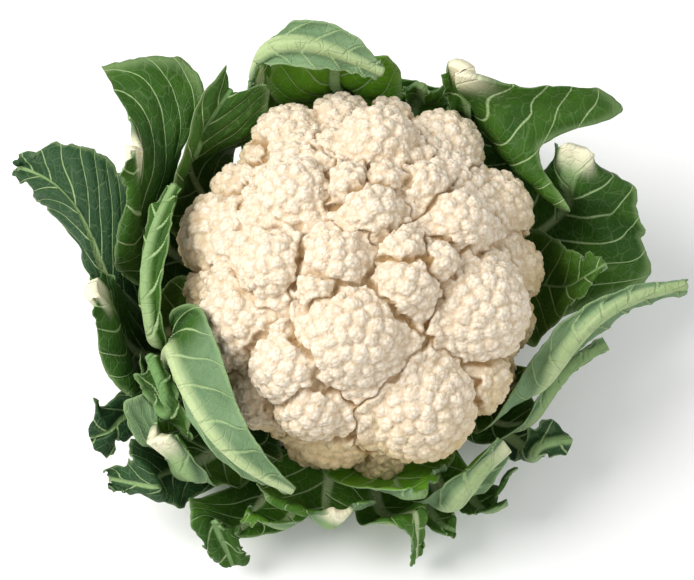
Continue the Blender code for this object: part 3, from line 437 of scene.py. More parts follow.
def hermite(knots, points, slopes, at):
    """The curve that takes the value points[i], and the slope slopes[i], at knots[i]."""
    i = np.clip(np.searchsorted(knots, at, side="right") - 1, 0, len(knots) - 2)
    span = (knots[i + 1] - knots[i])[:, None]
    t = ((at - knots[i])[:, None]) / span
    value = (2 * t**3 - 3 * t**2 + 1) * points[i] + (3 * t**2 - 2 * t**3) * points[i + 1]
    return value + span * ((t**3 - 2 * t**2 + t) * slopes[i] + (t**3 - t**2) * slopes[i + 1])


def unit(vectors):
    return vectors / np.maximum(np.linalg.norm(vectors, axis=-1, keepdims=True), 1e-9)


def sheet_normals(grid):
    """The upper face's normals at a grid of points: rows along the leaf, columns from left rim to right."""
    along = np.gradient(grid, axis=0)
    across = np.gradient(grid, axis=1)
    return unit(np.cross(across, along))


def read_at(places, values, at):
    """Rows of values, read between their places."""
    return np.column_stack([np.interp(at, places, column) for column in values.T])


def leaf_frame(leaf, shares):
    """The midrib's points, its direction, and the directions to its right and out of its upper face.

    The upper face looks up where the leaf leaves the stalk, and turns from there as the midrib bends and rolls.
    """
    fine = np.linspace(0, 1, 161)
    spine = smooth_curve(leaf["spine"], fine)
    forward = unit(np.gradient(spine, axis=0))
    upper = np.empty_like(spine)
    facing = np.array([0, 0, 1.0])
    for i, along in enumerate(forward):
        facing = unit(facing - (facing @ along) * along)
        upper[i] = facing
    right = np.cross(forward, upper)
    roll = np.radians(np.interp(fine, *np.array(leaf.get("roll", [(0, 0)])).T))[:, None]
    rolled = np.cos(roll) * right + np.sin(roll) * upper
    upper = np.cos(roll) * upper - np.sin(roll) * right
    return [read_at(fine, values, shares) for values in (spine, forward, rolled, upper)]


def rib_half_width(leaf, shares):
    """Half the midrib's width: narrow on the stalk, widest under the curd, then narrowing to the tip."""
    widest, end = leaf["rib"]
    return np.interp(shares, [0, 0.22, 0.6, 1.0], [BASE_WIDTH, widest, 0.6 * widest + 0.4 * end, end]) / 2


def skirt_of(leaf, side):
    """Where the blade opens, under the curd: the share along the midrib, and the rim on one side."""
    steps = np.linalg.norm(np.diff(np.array(leaf["spine"]), axis=0), axis=1)
    x, y, height = leaf["spine"][2]
    turn = -leaf["skirt"][0] if side == "right" else leaf["skirt"][1]
    rim = about(math.degrees(math.atan2(y, x)) + turn, math.hypot(x, y), height + SKIRT_RISE)
    return steps[:2].sum() / steps.sum(), rim


def rim_place(leaf, side, share, place):
    """A rim's point from the table: as it stands, or from a width and a rise beside the midrib."""
    if len(place) == 3:
        return place
    width, rise = place
    spine, _, right, upper = leaf_frame(leaf, [share])
    sign = 1 if side == "right" else -1
    tilt = math.radians(rise)
    return (spine + width * (sign * math.cos(tilt) * right + math.sin(tilt) * upper))[0]


def rim_line(leaf, side, shares, rib_edge, outward):
    """The blade's rim on one side, and its belly: a narrow wing, then the skirt, then the edge rows."""
    opens, skirt = skirt_of(leaf, side)
    start = SKIRT_START * opens
    wing = rib_edge + WING * outward
    knots = [start, opens]
    points = [read_at(shares, wing, [start])[0], skirt]
    bellies = [0, 0]
    for beyond, place, belly in leaf[side]:
        share = opens + (1 - opens) * beyond
        knots.append(share)
        points.append(rim_place(leaf, side, share, place))
        bellies.append(belly)
    knots, points = np.array(knots), np.array(points)
    slopes = level_slopes(knots, points)
    slopes[0] = np.diff(read_at(shares, wing, [start - 0.02, start + 0.02]), axis=0)[0] / 0.04
    rim = hermite(knots, points, slopes, np.clip(shares, start, 1.0))
    reach = ((rim - rib_edge) * outward).sum(1)[:, None]
    rim = rim + outward * np.maximum(LEAST_BLADE - reach, 0)
    share = np.clip((shares - start) / 0.05 + 1, 0, 1)[:, None]
    return wing * (1 - share) + rim * share, np.interp(shares, knots, bellies)


def blade_grid(leaf, rows, columns):
    """The upper face as a grid of points, with each one's share along the midrib and signed share across."""
    shares = np.linspace(0, 1, rows)
    spine, forward, right, upper = leaf_frame(leaf, shares)
    half = rib_half_width(leaf, shares)[:, None]
    amplitude, count = leaf["wave"]
    across = np.array(columns)
    sides = {}
    for side, sign in (("left", -1), ("right", 1)):
        edge = spine + sign * half * right
        rim, belly = rim_line(leaf, side, shares, edge, sign * right)
        flat = edge[:, None] + (rim - edge)[:, None] * across[None, :, None]
        normal = sheet_normals(flat if sign > 0 else flat[:, ::-1])
        if sign < 0:
            normal = normal[:, ::-1]
        grown = np.clip((shares - skirt_of(leaf, side)[0]) / 0.25, 0, 1)
        phase = 2 * np.pi * count * shares + (0.0 if sign > 0 else 2.1)
        height = belly[:, None] * 4 * across * (1 - across)
        height = height + amplitude * (np.sin(phase) * grown)[:, None] * across**1.5
        sides[side] = flat + height[..., None] * normal
    middle = (spine - GROOVE_DEPTH * upper)[:, None]
    grid = np.concatenate([sides["left"][:, ::-1], middle, sides["right"]], axis=1)
    signed = np.concatenate([-across[::-1] - 1, [0], across + 1])
    return eased(grid, leaf.get("easing", EASING)), shares, signed


def eased(grid, times):
    """The grid with its rows evened out along the leaf, beyond the part that lies under the curd."""
    share = np.clip(np.linspace(0, 1, len(grid))[1:-1] / 0.25 - 1, 0, 1)[:, None, None]
    for _ in range(times):
        even = (grid[:-2] + 2 * grid[1:-1] + grid[2:]) / 4
        grid[1:-1] += share * (even - grid[1:-1])
    return grid


def tightest_bend(grid):
    """At each row, the smallest radius to which the midrib bends there and at the rows beside it."""
    middle = grid[:, grid.shape[1] // 2]
    steps = np.diff(middle, axis=0)
    turn = np.diff(unit(steps), axis=0)
    length = (np.linalg.norm(steps[:-1], axis=1) + np.linalg.norm(steps[1:], axis=1)) / 2
    radius = length / np.maximum(np.linalg.norm(turn, axis=1), 1e-6)
    radius = np.concatenate([radius[:1], radius, radius[-1:]])
    return np.minimum(radius, np.minimum(np.roll(radius, 1), np.roll(radius, -1)))


def leaf_thickness(leaf, grid, shares, signed):
    """Thickness at each grid point: deep under the midrib, thin in the blade, thinnest at the rim."""
    widest = leaf["rib"][0]
    half = rib_half_width(leaf, shares)
    depth = np.maximum(RIB_DEPTH_SHARE * 2 * half, 1.6)
    depth = np.minimum(depth * np.interp(shares, [0, 0.3], [1.6, 1.15]), RIB_DEPTH_BASE * widest / 12)
    depth = np.maximum(np.minimum(depth, BEND_SHARE * tightest_bend(grid)), LEAST_RIB)
    across = np.abs(signed)
    blade = np.interp(across, [1, 2], [BLADE_THICKNESS, RIM_THICKNESS])
    thick = np.where(across[None] > 1.01, blade[None], 0.55 * depth[:, None])
    return np.where(across[None] < 0.5, depth[:, None], thick)


def seat_on_stalk(row):
    """Moves a leaf's first row onto the stalk's round side, so that the base follows the curve."""
    middle = row[len(row) // 2]
    outward = unit(np.array([middle[0], middle[1], 0]))
    sideways = np.array([-outward[1], outward[0], 0])
    offset = row @ sideways
    reach = np.sqrt((STALK_RADIUS + JOINT_GAP) ** 2 - offset**2)
    return outward * reach[:, None] + sideways * offset[:, None] + np.array([0, 0, 1.0]) * row[:, 2:3]


def dome_radii(inset):
    """The half axes of the curd's dome, drawn in by inset."""
    return np.array([HEAD_HALF_WIDTH, HEAD_HALF_DEPTH, HEAD_HALF_HEIGHT]) - inset


def floret_centre(x, y, radius, depth):
    """Where a floret's ball is centred: on the drawn-in dome, where the view's line meets it."""
    radii = dome_radii(FLORET_INSET_SHARE * radius + depth)
    middle = np.array([0, 0, HEAD_CENTRE_Z])
    heights = HEAD_CENTRE_Z + radii[2] * np.linspace(1, -0.6, 400)
    places = np.array([seen(x, y, height) for height in heights])
    beyond = (((places - middle) / radii) ** 2).sum(1)
    hit = int(np.argmax(beyond <= 1)) if (beyond <= 1).any() else int(np.argmin(beyond))
    return middle + (places[hit] - middle) / math.sqrt(beyond[hit])


def lower_ring():
    """Florets round the underside of the dome, where no view line from the front is needed."""
    for i in range(LOWER_RING_COUNT):
        angle = 2 * math.pi * i / LOWER_RING_COUNT
        inset = FLORET_INSET_SHARE * LOWER_RING_RADIUS + 8 + 3 * (i % 2)
        x = (HEAD_HALF_WIDTH - inset) * math.cos(angle)
        y = (HEAD_HALF_DEPTH - inset) * math.sin(angle)
        yield np.array([x, y, HEAD_CENTRE_Z - LOWER_RING_DROP + 4 * (i % 3) - 4]), LOWER_RING_RADIUS


def core_reach(ways):
    """How far the curd's solid core reaches from the head's middle in each direction."""
    radii = dome_radii(0) * CORE_SHARE
    below = ways[:, 2] < 0
    height = np.where(below, radii[2] * CORE_BELOW_SHARE, radii[2])
    flat = (ways[:, 0] / radii[0]) ** 2 + (ways[:, 1] / radii[1]) ** 2
    return 1 / np.sqrt(flat + (ways[:, 2] / height) ** 2)


def floor_reach(ways, reach):
    """The reach, cut to a gently sloping underside that leaves room for the leaves."""
    drop = HEAD_CENTRE_Z - STALK_HEIGHT - JOINT_GAP
    spread = np.linalg.norm(ways[:, :2], axis=1)
    flat = np.maximum(-ways[:, 2], 1e-6)
    sloping = np.maximum(UNDERSIDE_SLOPE * spread - ways[:, 2], 1e-6)
    return np.minimum(reach, np.minimum(drop / flat, (drop + UNDERSIDE_SLOPE * CURD_FOOT_RADIUS) / sloping))


# The fine leaf: its grid is drawn closer, its rims are cut into teeth, and its faces get veins and blisters.
# Shares are of the midrib's length or of the blade's width. The seeds keep the leaf's kinds of noise apart.
FINE_STEP = 1.25
RIB_COLUMNS = 9
BLADE_COLUMNS = 26
GROWN_IN = 0.2
CUT_FROM = 0.8
CUT_WITHIN = 0.15
CUT_BESIDE = 0.3
VEIN_SLANT = 0.85
VEIN_CURVE = 0.35
VEIN_RELIEF = 0.35
VEIN_HALF_WIDTH = 0.10
VEIN_WARP = 0.16
VEIN_WARP_LENGTHS = (14, 12)
LEFT_VEIN_SHIFT = 0.42
LEAST_WIDTH = 6
BLISTER = 1.0
BUMP_LENGTHS = (6.0, 17.0)
BUMP_HEIGHTS = (0.4, 1.3)
RUFFLE_RISE = 1.8
RUFFLE_LENGTHS = (26.0, 10.0)
RUFFLE_SHARES = (2.8, 1.5)
TOOTH_LENGTHS = (17.0, 6.5, 2.8)
TOOTH_SHARES = (1.0, 1.0, 0.5)
TOOTH_GAIN = 1.3
TOOTH_BIAS = 0.3
RIB_ABOVE = 0.42
RIB_BELOW = 0.85
RIB_FADE = 0.28
NORMAL_EASING = 6
TIP_START = 0.74
TIP_NOTCH = 3.4
END_LENGTH = 13.0
END_RUFFLE = 2.2
NICK_SHARE = 0.4
FINE_RIM = 0.35
VEIN_THICKNESS = 0.4
RUFFLE_SEED = 20
END_SEED = 40
LEFT_SEED = 60
NOTCH_SEED = 80
NICK_SEED = 90

# How each leaf differs. Tint runs from dark and bluish (0) to bright yellow-green (1), and its bright end is
# partly the inner leaves' own colour and partly painted light, the glow of light shining through them. Teeth
# and ruffle scale the rim's teeth and waves, spread moves the rim out, and veins is the distance between side
# veins, in millimetres. Cut is how pale and bare the midrib's cut end is, and tip is how far the end of another
# leaf is rounded. Pale is the share of the midrib from which the underside is pale, never if above 1, and fade
# is how green the midrib gets towards its end.
PLAIN_LOOK = dict(
    tint=0.25, teeth=1.6, ruffle=1.0, veins=14.0, cut=0.0, tip=0.45, pale=0.0, fade=0.7, spread=0.0
)
LOOKS = {
    "leaf_back_folded": dict(tint=0.55, teeth=0.8, ruffle=0.5, tip=0.3, fade=0.2),
    "leaf_back_inner": dict(tint=1.0, teeth=0.7, ruffle=0.4, tip=0.0, spread=4.0),
    "leaf_back_small": dict(tint=0.45, teeth=2.0, ruffle=1.2),
    "leaf_back_right": dict(tint=0.25, teeth=1.6, veins=18.0, cut=1.0),
    "leaf_right_upper": dict(tint=0.2, teeth=2.4, ruffle=1.6, veins=18.0, cut=1.0),
    "leaf_right_small": dict(tint=0.35, teeth=2.0),
    "leaf_right_long": dict(tint=0.3, teeth=1.3, tip=0.2, fade=0.3),
    "leaf_right_strip": dict(tint=0.2, teeth=1.2, tip=0.2),
    "leaf_front_right_stub": dict(tint=0.6, teeth=1.0, cut=0.5, fade=0.3),
    "leaf_front_right_wing": dict(tint=0.06, teeth=2.0, ruffle=1.4, pale=1.2),
    "leaf_front_bright": dict(tint=1.0, teeth=0.8, ruffle=0.5),
    "leaf_front_right_low": dict(tint=0.25, teeth=2.2),
    "leaf_front_low": dict(tint=0.3, teeth=2.0),
    "leaf_front_strap": dict(tint=0.5, teeth=0.8, ruffle=0.5, fade=0.0),
    "leaf_front_left": dict(tint=0.4, teeth=2.0, cut=1.0),
    "leaf_front_left_curl": dict(tint=0.6, teeth=0.8),
    "leaf_low_front_left": dict(tint=0.25, teeth=2.4, ruffle=1.6, pale=1.2, fade=0.8),
    "leaf_wrap": dict(tint=0.15, teeth=0.7, ruffle=0.4, veins=17.0, tip=0.2, pale=0.66, fade=0.0),
    "leaf_left_loop": dict(tint=0.4, teeth=1.0, cut=1.0),
    "leaf_left_middle": dict(tint=0.2, teeth=1.6, pale=1.2, fade=0.95),
    "leaf_low_left": dict(tint=0.05, teeth=2.2, ruffle=1.6, pale=1.2),
    "leaf_low_left_outer": dict(tint=0.0, teeth=2.2, ruffle=1.6),
    "leaf_left_stub": dict(tint=0.15, teeth=1.6, cut=1.0, pale=1.2),
    "leaf_far_left": dict(tint=0.03, teeth=2.2, ruffle=1.4, pale=1.2),
    "leaf_upper_left": dict(tint=0.2, teeth=1.8, ruffle=1.4, veins=19.0, cut=1.0, spread=2.0),
    "leaf_upper_inner": dict(tint=0.25, teeth=0.8, tip=0.05, fade=0.9, spread=6.0),
    "leaf_left_inner": dict(tint=0.3, teeth=1.2, ruffle=0.8, pale=1.2),
    "leaf_low_back": dict(tint=0.2, teeth=2.0, ruffle=1.4),
}


def smooth_step(value):
    """From 0 to 1 with level ends, as the value goes from 0 to 1."""
    value = np.clip(value, 0, 1)
    return value * value * (3 - 2 * value)


def lattice_values(cells, seed):
    """A steady pseudo-random value from 0 to 1 for each row of whole numbers."""
    cells = cells.astype(np.int64)
    mixed = cells[..., 0] * 73856093 ^ cells[..., 1] * 19349663 ^ cells[..., 2] * 83492791
    mixed = mixed ^ (seed * 2654435761 & 0xFFFFFF)
    mixed = (mixed ^ (mixed >> 13)) * 1274126177 & 0x7FFFFFFF
    return ((mixed ^ (mixed >> 16)) & 0xFFFF) / 65535.0


def soft_noise(places, seed):
    """Smooth noise from -1 to 1 at each place, with features about one unit long."""
    base = np.floor(places)
    blend = smooth_step(places - base)
    total = 0.0
    for corner in np.ndindex(2, 2, 2):
        weight = np.prod(np.where(corner, blend, 1 - blend), axis=-1)
        total = total + weight * lattice_values(base + np.array(corner), seed)
    return 2 * total - 1


def line_noise(at, seed):
    """Smooth noise along a line."""
    places = np.zeros(np.shape(at) + (3,))
    places[..., 0] = at
    return soft_noise(places + 0.37, seed)


def redraw(values, knots, at):
    """Values that stand in rows at knots, read smoothly at other places."""
    flat = values.reshape(len(values), -1)
    read = hermite(knots, flat, np.gradient(flat, knots, axis=0), at)
    return read.reshape((len(at),) + values.shape[1:])


def fine_columns():
    """Signed shares across a leaf: -2 at the left rim, -1 to 1 over the midrib, 2 at the right rim."""
    blade = 1 + np.linspace(0, 1, BLADE_COLUMNS + 1)[1:] ** 0.9
    rib = np.linspace(-1, 1, RIB_COLUMNS)
    return np.concatenate([-blade[::-1], rib, blade])


def seam_lengths(grid):
    """Length along the leaf at each row, and across it from the midrib at each point, in millimetres."""
    middle = grid.shape[1] // 2
    along = line_lengths(grid[:, middle])
    steps = np.linalg.norm(np.diff(grid, axis=1), axis=2)
    across = np.concatenate([np.zeros((len(grid), 1)), np.cumsum(steps, axis=1)], axis=1)
    return along, np.abs(across - across[:, middle : middle + 1])


def rim_lengths(grid):
    """How far along the left and the right rim each row lies."""
    return line_lengths(grid[:, 0]), line_lengths(grid[:, -1])


class FineLeaf:
    """The finely drawn upper face of a leaf, with what its material needs at each point."""

    def __init__(self, name):
        self.look = {**PLAIN_LOOK, **LOOKS[name]}
        self.seed = sorted(LEAVES).index(name) + 1
        leaf = LEAVES[name]
        small = leaf.get("small", False)
        rows = SMALL_ROWS if small else LARGE_ROWS
        coarse, shares, signed = blade_grid(leaf, rows, SMALL_COLUMNS if small else COLUMNS)
        thick = leaf_thickness(leaf, coarse, shares, signed)
        coarse[0] = seat_on_stalk(coarse[0])
        length = max(rim[-1] for rim in rim_lengths(coarse))
        self.shares = np.linspace(0, 1, int(max(length, seam_lengths(coarse)[0][-1]) / FINE_STEP))
        self.signed = fine_columns()
        grid = redraw(coarse, shares, self.shares)
        self.grid = redraw(grid.transpose(1, 0, 2), signed, self.signed).transpose(1, 0, 2)
        self.depth = np.interp(self.shares, shares, thick[:, len(signed) // 2])
        self.opens = skirt_of(leaf, "left")[0]
        self.shape()

    def shape(self):
        """Cuts the rims into teeth and adds the blisters, veins and ruffles."""
        look, seed = self.look, self.seed
        self.side = np.sign(self.signed)
        self.out = out = np.clip(np.abs(self.signed) - 1, 0, 1)
        beside = smooth_step(out / CUT_BESIDE)
        sliced = look["cut"] * smooth_step((self.shares - CUT_FROM) / CUT_WITHIN)[:, None] * (1 - beside)
        grown = smooth_step((self.shares - self.opens) / GROWN_IN)[:, None] * (1 - sliced)
        rims = rim_lengths(self.grid)
        self.cut_teeth(rims, grown)
        self.round_tip(grown, beside)
        self.along, self.across = seam_lengths(self.grid)
        to_vein = self.lay_veins()
        self.vein = (1 - smooth_step(to_vein / VEIN_HALF_WIDTH)) * grown * (out > 0) * (1 - 0.5 * out)
        blister = np.sin(np.pi * np.clip(to_vein * 2, 0, 1) / 2)
        blister = blister * np.sin(np.pi * np.clip(out * 1.05, 0, 1)) ** 0.5
        fine, broad = (soft_noise(self.grid / length, seed + 5 * k) for k, length in enumerate(BUMP_LENGTHS))
        bumps = BUMP_HEIGHTS[0] * fine + BUMP_HEIGHTS[1] * broad
        lift = grown * (BLISTER * (blister - 0.5) + bumps * out - VEIN_RELIEF * self.vein)
        ruffle = self.rim_noise(rims, RUFFLE_LENGTHS, RUFFLE_SHARES, RUFFLE_SEED)
        end = smooth_step((self.shares - TIP_START) / (1 - TIP_START))[:, None] * smooth_step(out / 0.4)
        waves = ruffle * out**RUFFLE_RISE + END_RUFFLE * end * self.end_noise(END_LENGTH, END_SEED)
        lift = lift + grown * look["ruffle"] * waves
        self.normal = sheet_normals(self.grid)
        self.grid = self.grid + self.normal * lift[..., None]
        self.normal = sheet_normals(self.grid)
        for _ in range(NORMAL_EASING):
            padded = np.pad(self.normal, ((0, 0), (1, 1), (0, 0)), mode="edge")
            self.normal = unit(padded[:, :-2] + 2 * self.normal + padded[:, 2:])

    def cut_teeth(self, rims, grown):
        """Moves the rims out and in again, in teeth."""
        teeth = self.rim_noise(rims, TOOTH_LENGTHS, TOOTH_SHARES, 0)
        outward = unit(np.gradient(self.grid, axis=1)) * self.side[:, None]
        rim = TOOTH_GAIN * self.look["teeth"] * (teeth - TOOTH_BIAS) + self.look["spread"]
        self.grid = self.grid + outward * (rim * grown * self.out**2)[..., None]

    def lay_veins(self):
        """Sets each point's phase between the slanting side veins, and gives how far it is from one."""
        width = np.maximum(self.across[:, [0, -1]].max(axis=1), LEAST_WIDTH)[:, None]
        bend = VEIN_SLANT * self.across + VEIN_CURVE * self.across**2 / width
        flat = 0 * self.across
        along_length, across_length = VEIN_WARP_LENGTHS
        up = self.along[:, None] / along_length + flat
        over = self.across * self.side / across_length
        warp = VEIN_WARP * soft_noise(np.dstack([up, over, flat + self.seed]), self.seed)
        shift = np.where(self.side > 0, 0.0, LEFT_VEIN_SHIFT)
        self.phase = (self.along[:, None] - bend) / self.look["veins"] + warp + shift
        return 0.5 - np.abs(self.phase - np.floor(self.phase) - 0.5)

    def rim_noise(self, rims, lengths, sizes, seed):
        """Noise along the rims, of several lengths at once, that differs from one side to the other."""
        total = 0.0
        for number, (length, size) in enumerate(zip(lengths, sizes)):
            left = line_noise(rims[0] / length, self.seed + seed + number + LEFT_SEED)[:, None]
            right = line_noise(rims[1] / length, self.seed + seed + number)[:, None]
            total = total + size * np.where(self.signed > 0, right, left)
        return total

    def end_noise(self, length, seed):
        """Noise along the last row, from one rim to the other."""
        return line_noise(line_lengths(self.grid[-1]) / length, self.seed + seed)[None]

    def round_tip(self, grown, beside):
        """Draws the end back beside the midrib, in notches, but leaves a rib that was cut straight across."""
        whole = self.look["cut"] == 0
        share = smooth_step((self.shares - TIP_START) / (1 - TIP_START))[:, None]
        _, across = seam_lengths(self.grid)
        notch = TIP_NOTCH * (0.5 + 0.5 * self.end_noise(END_LENGTH, NOTCH_SEED))
        notch = notch + NICK_SHARE * TIP_NOTCH * self.end_noise(END_LENGTH / 3, NICK_SEED)
        tip = self.look["tip"] * whole * across * (np.abs(self.signed)[None] / 2) ** 1.5
        back = share * (tip + notch * (1 if whole else beside))
        forward = unit(np.gradient(self.grid, axis=0))
        self.grid = self.grid - forward * (back * grown)[..., None]

    def thickness(self):
        """The rib is round below, the blade is thin, and the veins stand out on the underside."""
        across = np.abs(self.signed)[None]
        rib = self.depth[:, None] * (1 - 0.45 * np.clip(across, 0, 1) ** 2)
        fall = smooth_step((across - 1) / 0.4)
        blade = np.interp(across, [1, 1.9, 2], [BLADE_THICKNESS, BLADE_THICKNESS, FINE_RIM])
        veins = VEIN_THICKNESS * self.vein * (across > 1.05) * (across < 1.95)
        return rib * (1 - fall) + blade * fall + veins

    def values(self):
        """The named values of each point of the upper face, for the material."""
        rows, columns = self.grid.shape[:2]
        every = np.ones((rows, columns))
        across = np.abs(self.signed)[None] * every
        end = smooth_step((self.shares - 0.90) / 0.10)[:, None]
        return {
            "phase": self.phase,
            "out": self.out[None] * every,
            "fade": self.look["fade"] * smooth_step((self.shares - 0.4) / 0.4)[:, None] * every,
            "rim": smooth_step((across - 1.86) / 0.14),
            "tint": self.look["tint"] * every,
            "cut": self.look["cut"] * end * (1 - smooth_step((across - 0.9) / 0.35)),
            "along": self.along[:, None] * every,
            "side": self.across * self.side[None],
        }


def sheet_faces(rows, columns):
    """Quads of two grids back to back, and of the four strips that close them."""
    index = np.arange(rows * columns).reshape(rows, columns)
    top = np.stack([index[:-1, :-1], index[:-1, 1:], index[1:, 1:], index[1:, :-1]], axis=-1).reshape(-1, 4)
    below = top[:, ::-1] + rows * columns
    ring = np.concatenate([index[0, :], index[1:, -1], index[-1, -2::-1], index[-2:0:-1, 0]])
    after = np.roll(ring, -1)
    close = np.stack([after, ring, ring + rows * columns, after + rows * columns], axis=-1)
    return np.concatenate([top, below, close])


def store_values(mesh, values):
    """Keeps named values of the mesh's points, which its material reads."""
    for key, value in values.items():
        layer = mesh.attributes.new(key, "FLOAT", "POINT")
        layer.data.foreach_set("value", value.astype(np.float32))


def build_fine_leaf(name):
    """One leaf as a closed mesh, with its material's values as attributes."""
    fine = FineLeaf(name)
    rows, columns = fine.grid.shape[:2]
    below = fine.grid - fine.normal * fine.thickness()[..., None]
    points = np.concatenate([fine.grid.reshape(-1, 3), below.reshape(-1, 3)]) * MM
    mesh = bpy.data.meshes.new(name + "_blade")
    mesh.from_pydata(points.tolist(), [], sheet_faces(rows, columns).tolist())
    above = fine.values()
    values = {key: np.tile(value.ravel(), 2) for key, value in above.items()}
    across = np.abs(fine.signed)
    edges = [share + (RIB_BELOW - share) * above["cut"] for share in (RIB_ABOVE, RIB_BELOW)]
    values["rib"] = np.concatenate([(1 - smooth_step((across - edge) / RIB_FADE)).ravel() for edge in edges])
    pale = np.repeat(smooth_step((fine.shares - fine.look["pale"]) / 0.08 + 1), columns)
    values["under"] = np.concatenate([np.zeros(rows * columns), pale])
    store_values(mesh, values)
    mesh.materials.append(leaf_material())
    mesh.shade_smooth()
    piece = bpy.data.objects.new(name + "_blade", mesh)
    bpy.context.scene.collection.objects.link(piece)
    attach(piece, BODY)
    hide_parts(name)


# The fine curd: lobes on each floret, more in the hollows between them, and grains on every lobe. Clefts part
# the florets and seams part the lobes, and both wander.
VOXEL = 0.8
LOBE_RADIUS = 4.9
LOBE_SPACING = 7.2
LOBE_STAND = 0.45
LOBE_TURN = 1.35
LOBE_VARY = 0.25
LEAST_LOBES = 9
DRAW_IN = 2.2
HOLLOW_DROP = 9.0
HOLLOW_SPACING = 7.5
CORE_DROP = 12.0
CLEFT_WIDTH = 2.2
CLEFT_DEPTH = 2.4
SEAM_WIDTH = 1.1
SEAM_DEPTH = 0.5
GRAIN_CELL = 2.8
GRAIN_HEIGHT = 0.62
CRUMB_CELL = 1.5
CRUMB_HEIGHT = 0.16
UNDERSIDE = 45.0
NEAR = 9.0
SIDE_HEIGHT = 104.0
SIDE_FADE = 34.0
WANDER = 2.2
WANDER_CELL = 5.0
WANDER_SEEDS = (21, 22, 23)
CELL_SEAM = 0.55
BALL_LEVEL = 3
FAR = 300.0
AXIS_DROP = 30


def cell_domes(places, cell, seed):
    """Small domes round scattered points, which fill space: 1 in the middle, 0 in the seams."""
    scaled = places / cell
    base = np.floor(scaled)
    nearest, next_one = np.full(len(places), 9.0), np.full(len(places), 9.0)
    for step in np.ndindex(3, 3, 3):
        corner = base + np.array(step) - 1
        point = corner + np.stack([lattice_values(corner, seed + k) for k in range(3)], axis=-1)
        away = np.sqrt(((scaled - point) ** 2).sum(1))
        next_one = np.minimum(next_one, np.maximum(nearest, away))
        nearest = np.minimum(nearest, away)
    return 1 - (1 - np.clip((next_one - nearest) / CELL_SEAM, 0, 1)) ** 2


def fine_florets():
    """Each floret with its radius and outward axis."""
    middle = np.array([0, 0, HEAD_CENTRE_Z - AXIS_DROP])
    balls = [(floret_centre(*row), row[2]) for row in FLORETS] + list(lower_ring())
    for number, (centre, radius) in enumerate(balls):
        yield number, centre, radius, unit(centre - middle)


def floret_lobes(number, centre, radius, axis):
    """The balls of one floret's lobes, spaced evenly over its outer side."""
    side = unit(np.cross(axis, [0.3, 0.5, 0.8]))
    other = np.cross(axis, side)
    count = max(LEAST_LOBES, int(LOBE_TURN * 2 * math.pi * radius**2 / LOBE_SPACING**2))
    for i in range(count):
        polar = math.acos(1 - LOBE_TURN * (i + 0.5) / count)
        turn = GOLDEN_ANGLE * i + number
        way = math.cos(polar) * axis + math.sin(polar) * (math.cos(turn) * side + math.sin(turn) * other)
        sway = line_noise(np.array([i * 1.7 + number * 9.1]), 5)[0]
        lobe = LOBE_RADIUS * (1 + LOBE_VARY * sway) * min(1.0, 0.55 + radius / 40)
        yield centre + way * (radius - lobe * LOBE_STAND - DRAW_IN), lobe


def hollow_lobes():
    """Lobes over the whole dome, a little lower than the florets, that fill the hollows between them."""
    radii = dome_radii(HOLLOW_DROP + LOBE_RADIUS * LOBE_STAND)
    count = int(4 * math.pi * radii[0] ** 2 / HOLLOW_SPACING**2)
    for i in range(count):
        height = 1 - 2 * (i + 0.5) / count
        turn = GOLDEN_ANGLE * i
        across = math.sqrt(1 - height**2)
        way = np.array([across * math.cos(turn), across * math.sin(turn), height])
        place = way * radii + np.array([0, 0, HEAD_CENTRE_Z])
        if place[2] > HEAD_CENTRE_Z - UNDERSIDE / 2:
            yield place, LOBE_RADIUS * (1 + 0.2 * line_noise(np.array([i * 2.3]), 8)[0])


def fine_groups():
    """A centre, a reach and the lobes of each floret, with the hollow lobes that lie nearest to it."""
    florets = list(fine_florets())
    centres = np.array([floret[1] for floret in florets])
    groups = [list(floret_lobes(*floret)) for floret in florets]
    for lobe in hollow_lobes():
        groups[int(np.argmin(np.linalg.norm(centres - lobe[0], axis=1)))].append(lobe)
    for centre, lobes in zip(centres, groups):
        furthest = max(np.linalg.norm(place - centre) for place, _ in lobes)
        yield centre, furthest + LOBE_RADIUS + NEAR, lobes


def nearest_two(places, groups):
    """How much deeper each place lies in one ball than in the next, and that ball's centre."""
    first, second = np.full(len(places), -99.0), np.full(len(places), -99.0)
    owner = np.zeros(places.shape)
    for middle, reach, balls in groups:
        around = np.flatnonzero(np.linalg.norm(places - middle, axis=1) < reach)
        for centre, radius in balls:
            offset = places[around] - centre
            close = np.abs(offset).max(axis=1) < radius + NEAR
            near = around[close]
            inside = radius - np.linalg.norm(offset[close], axis=1)
            ahead = inside > first[near]
            second[near] = np.where(ahead, first[near], np.maximum(second[near], inside))
            first[near] = np.where(ahead, inside, first[near])
            owner[near[ahead]] = centre
    return first - second, owner


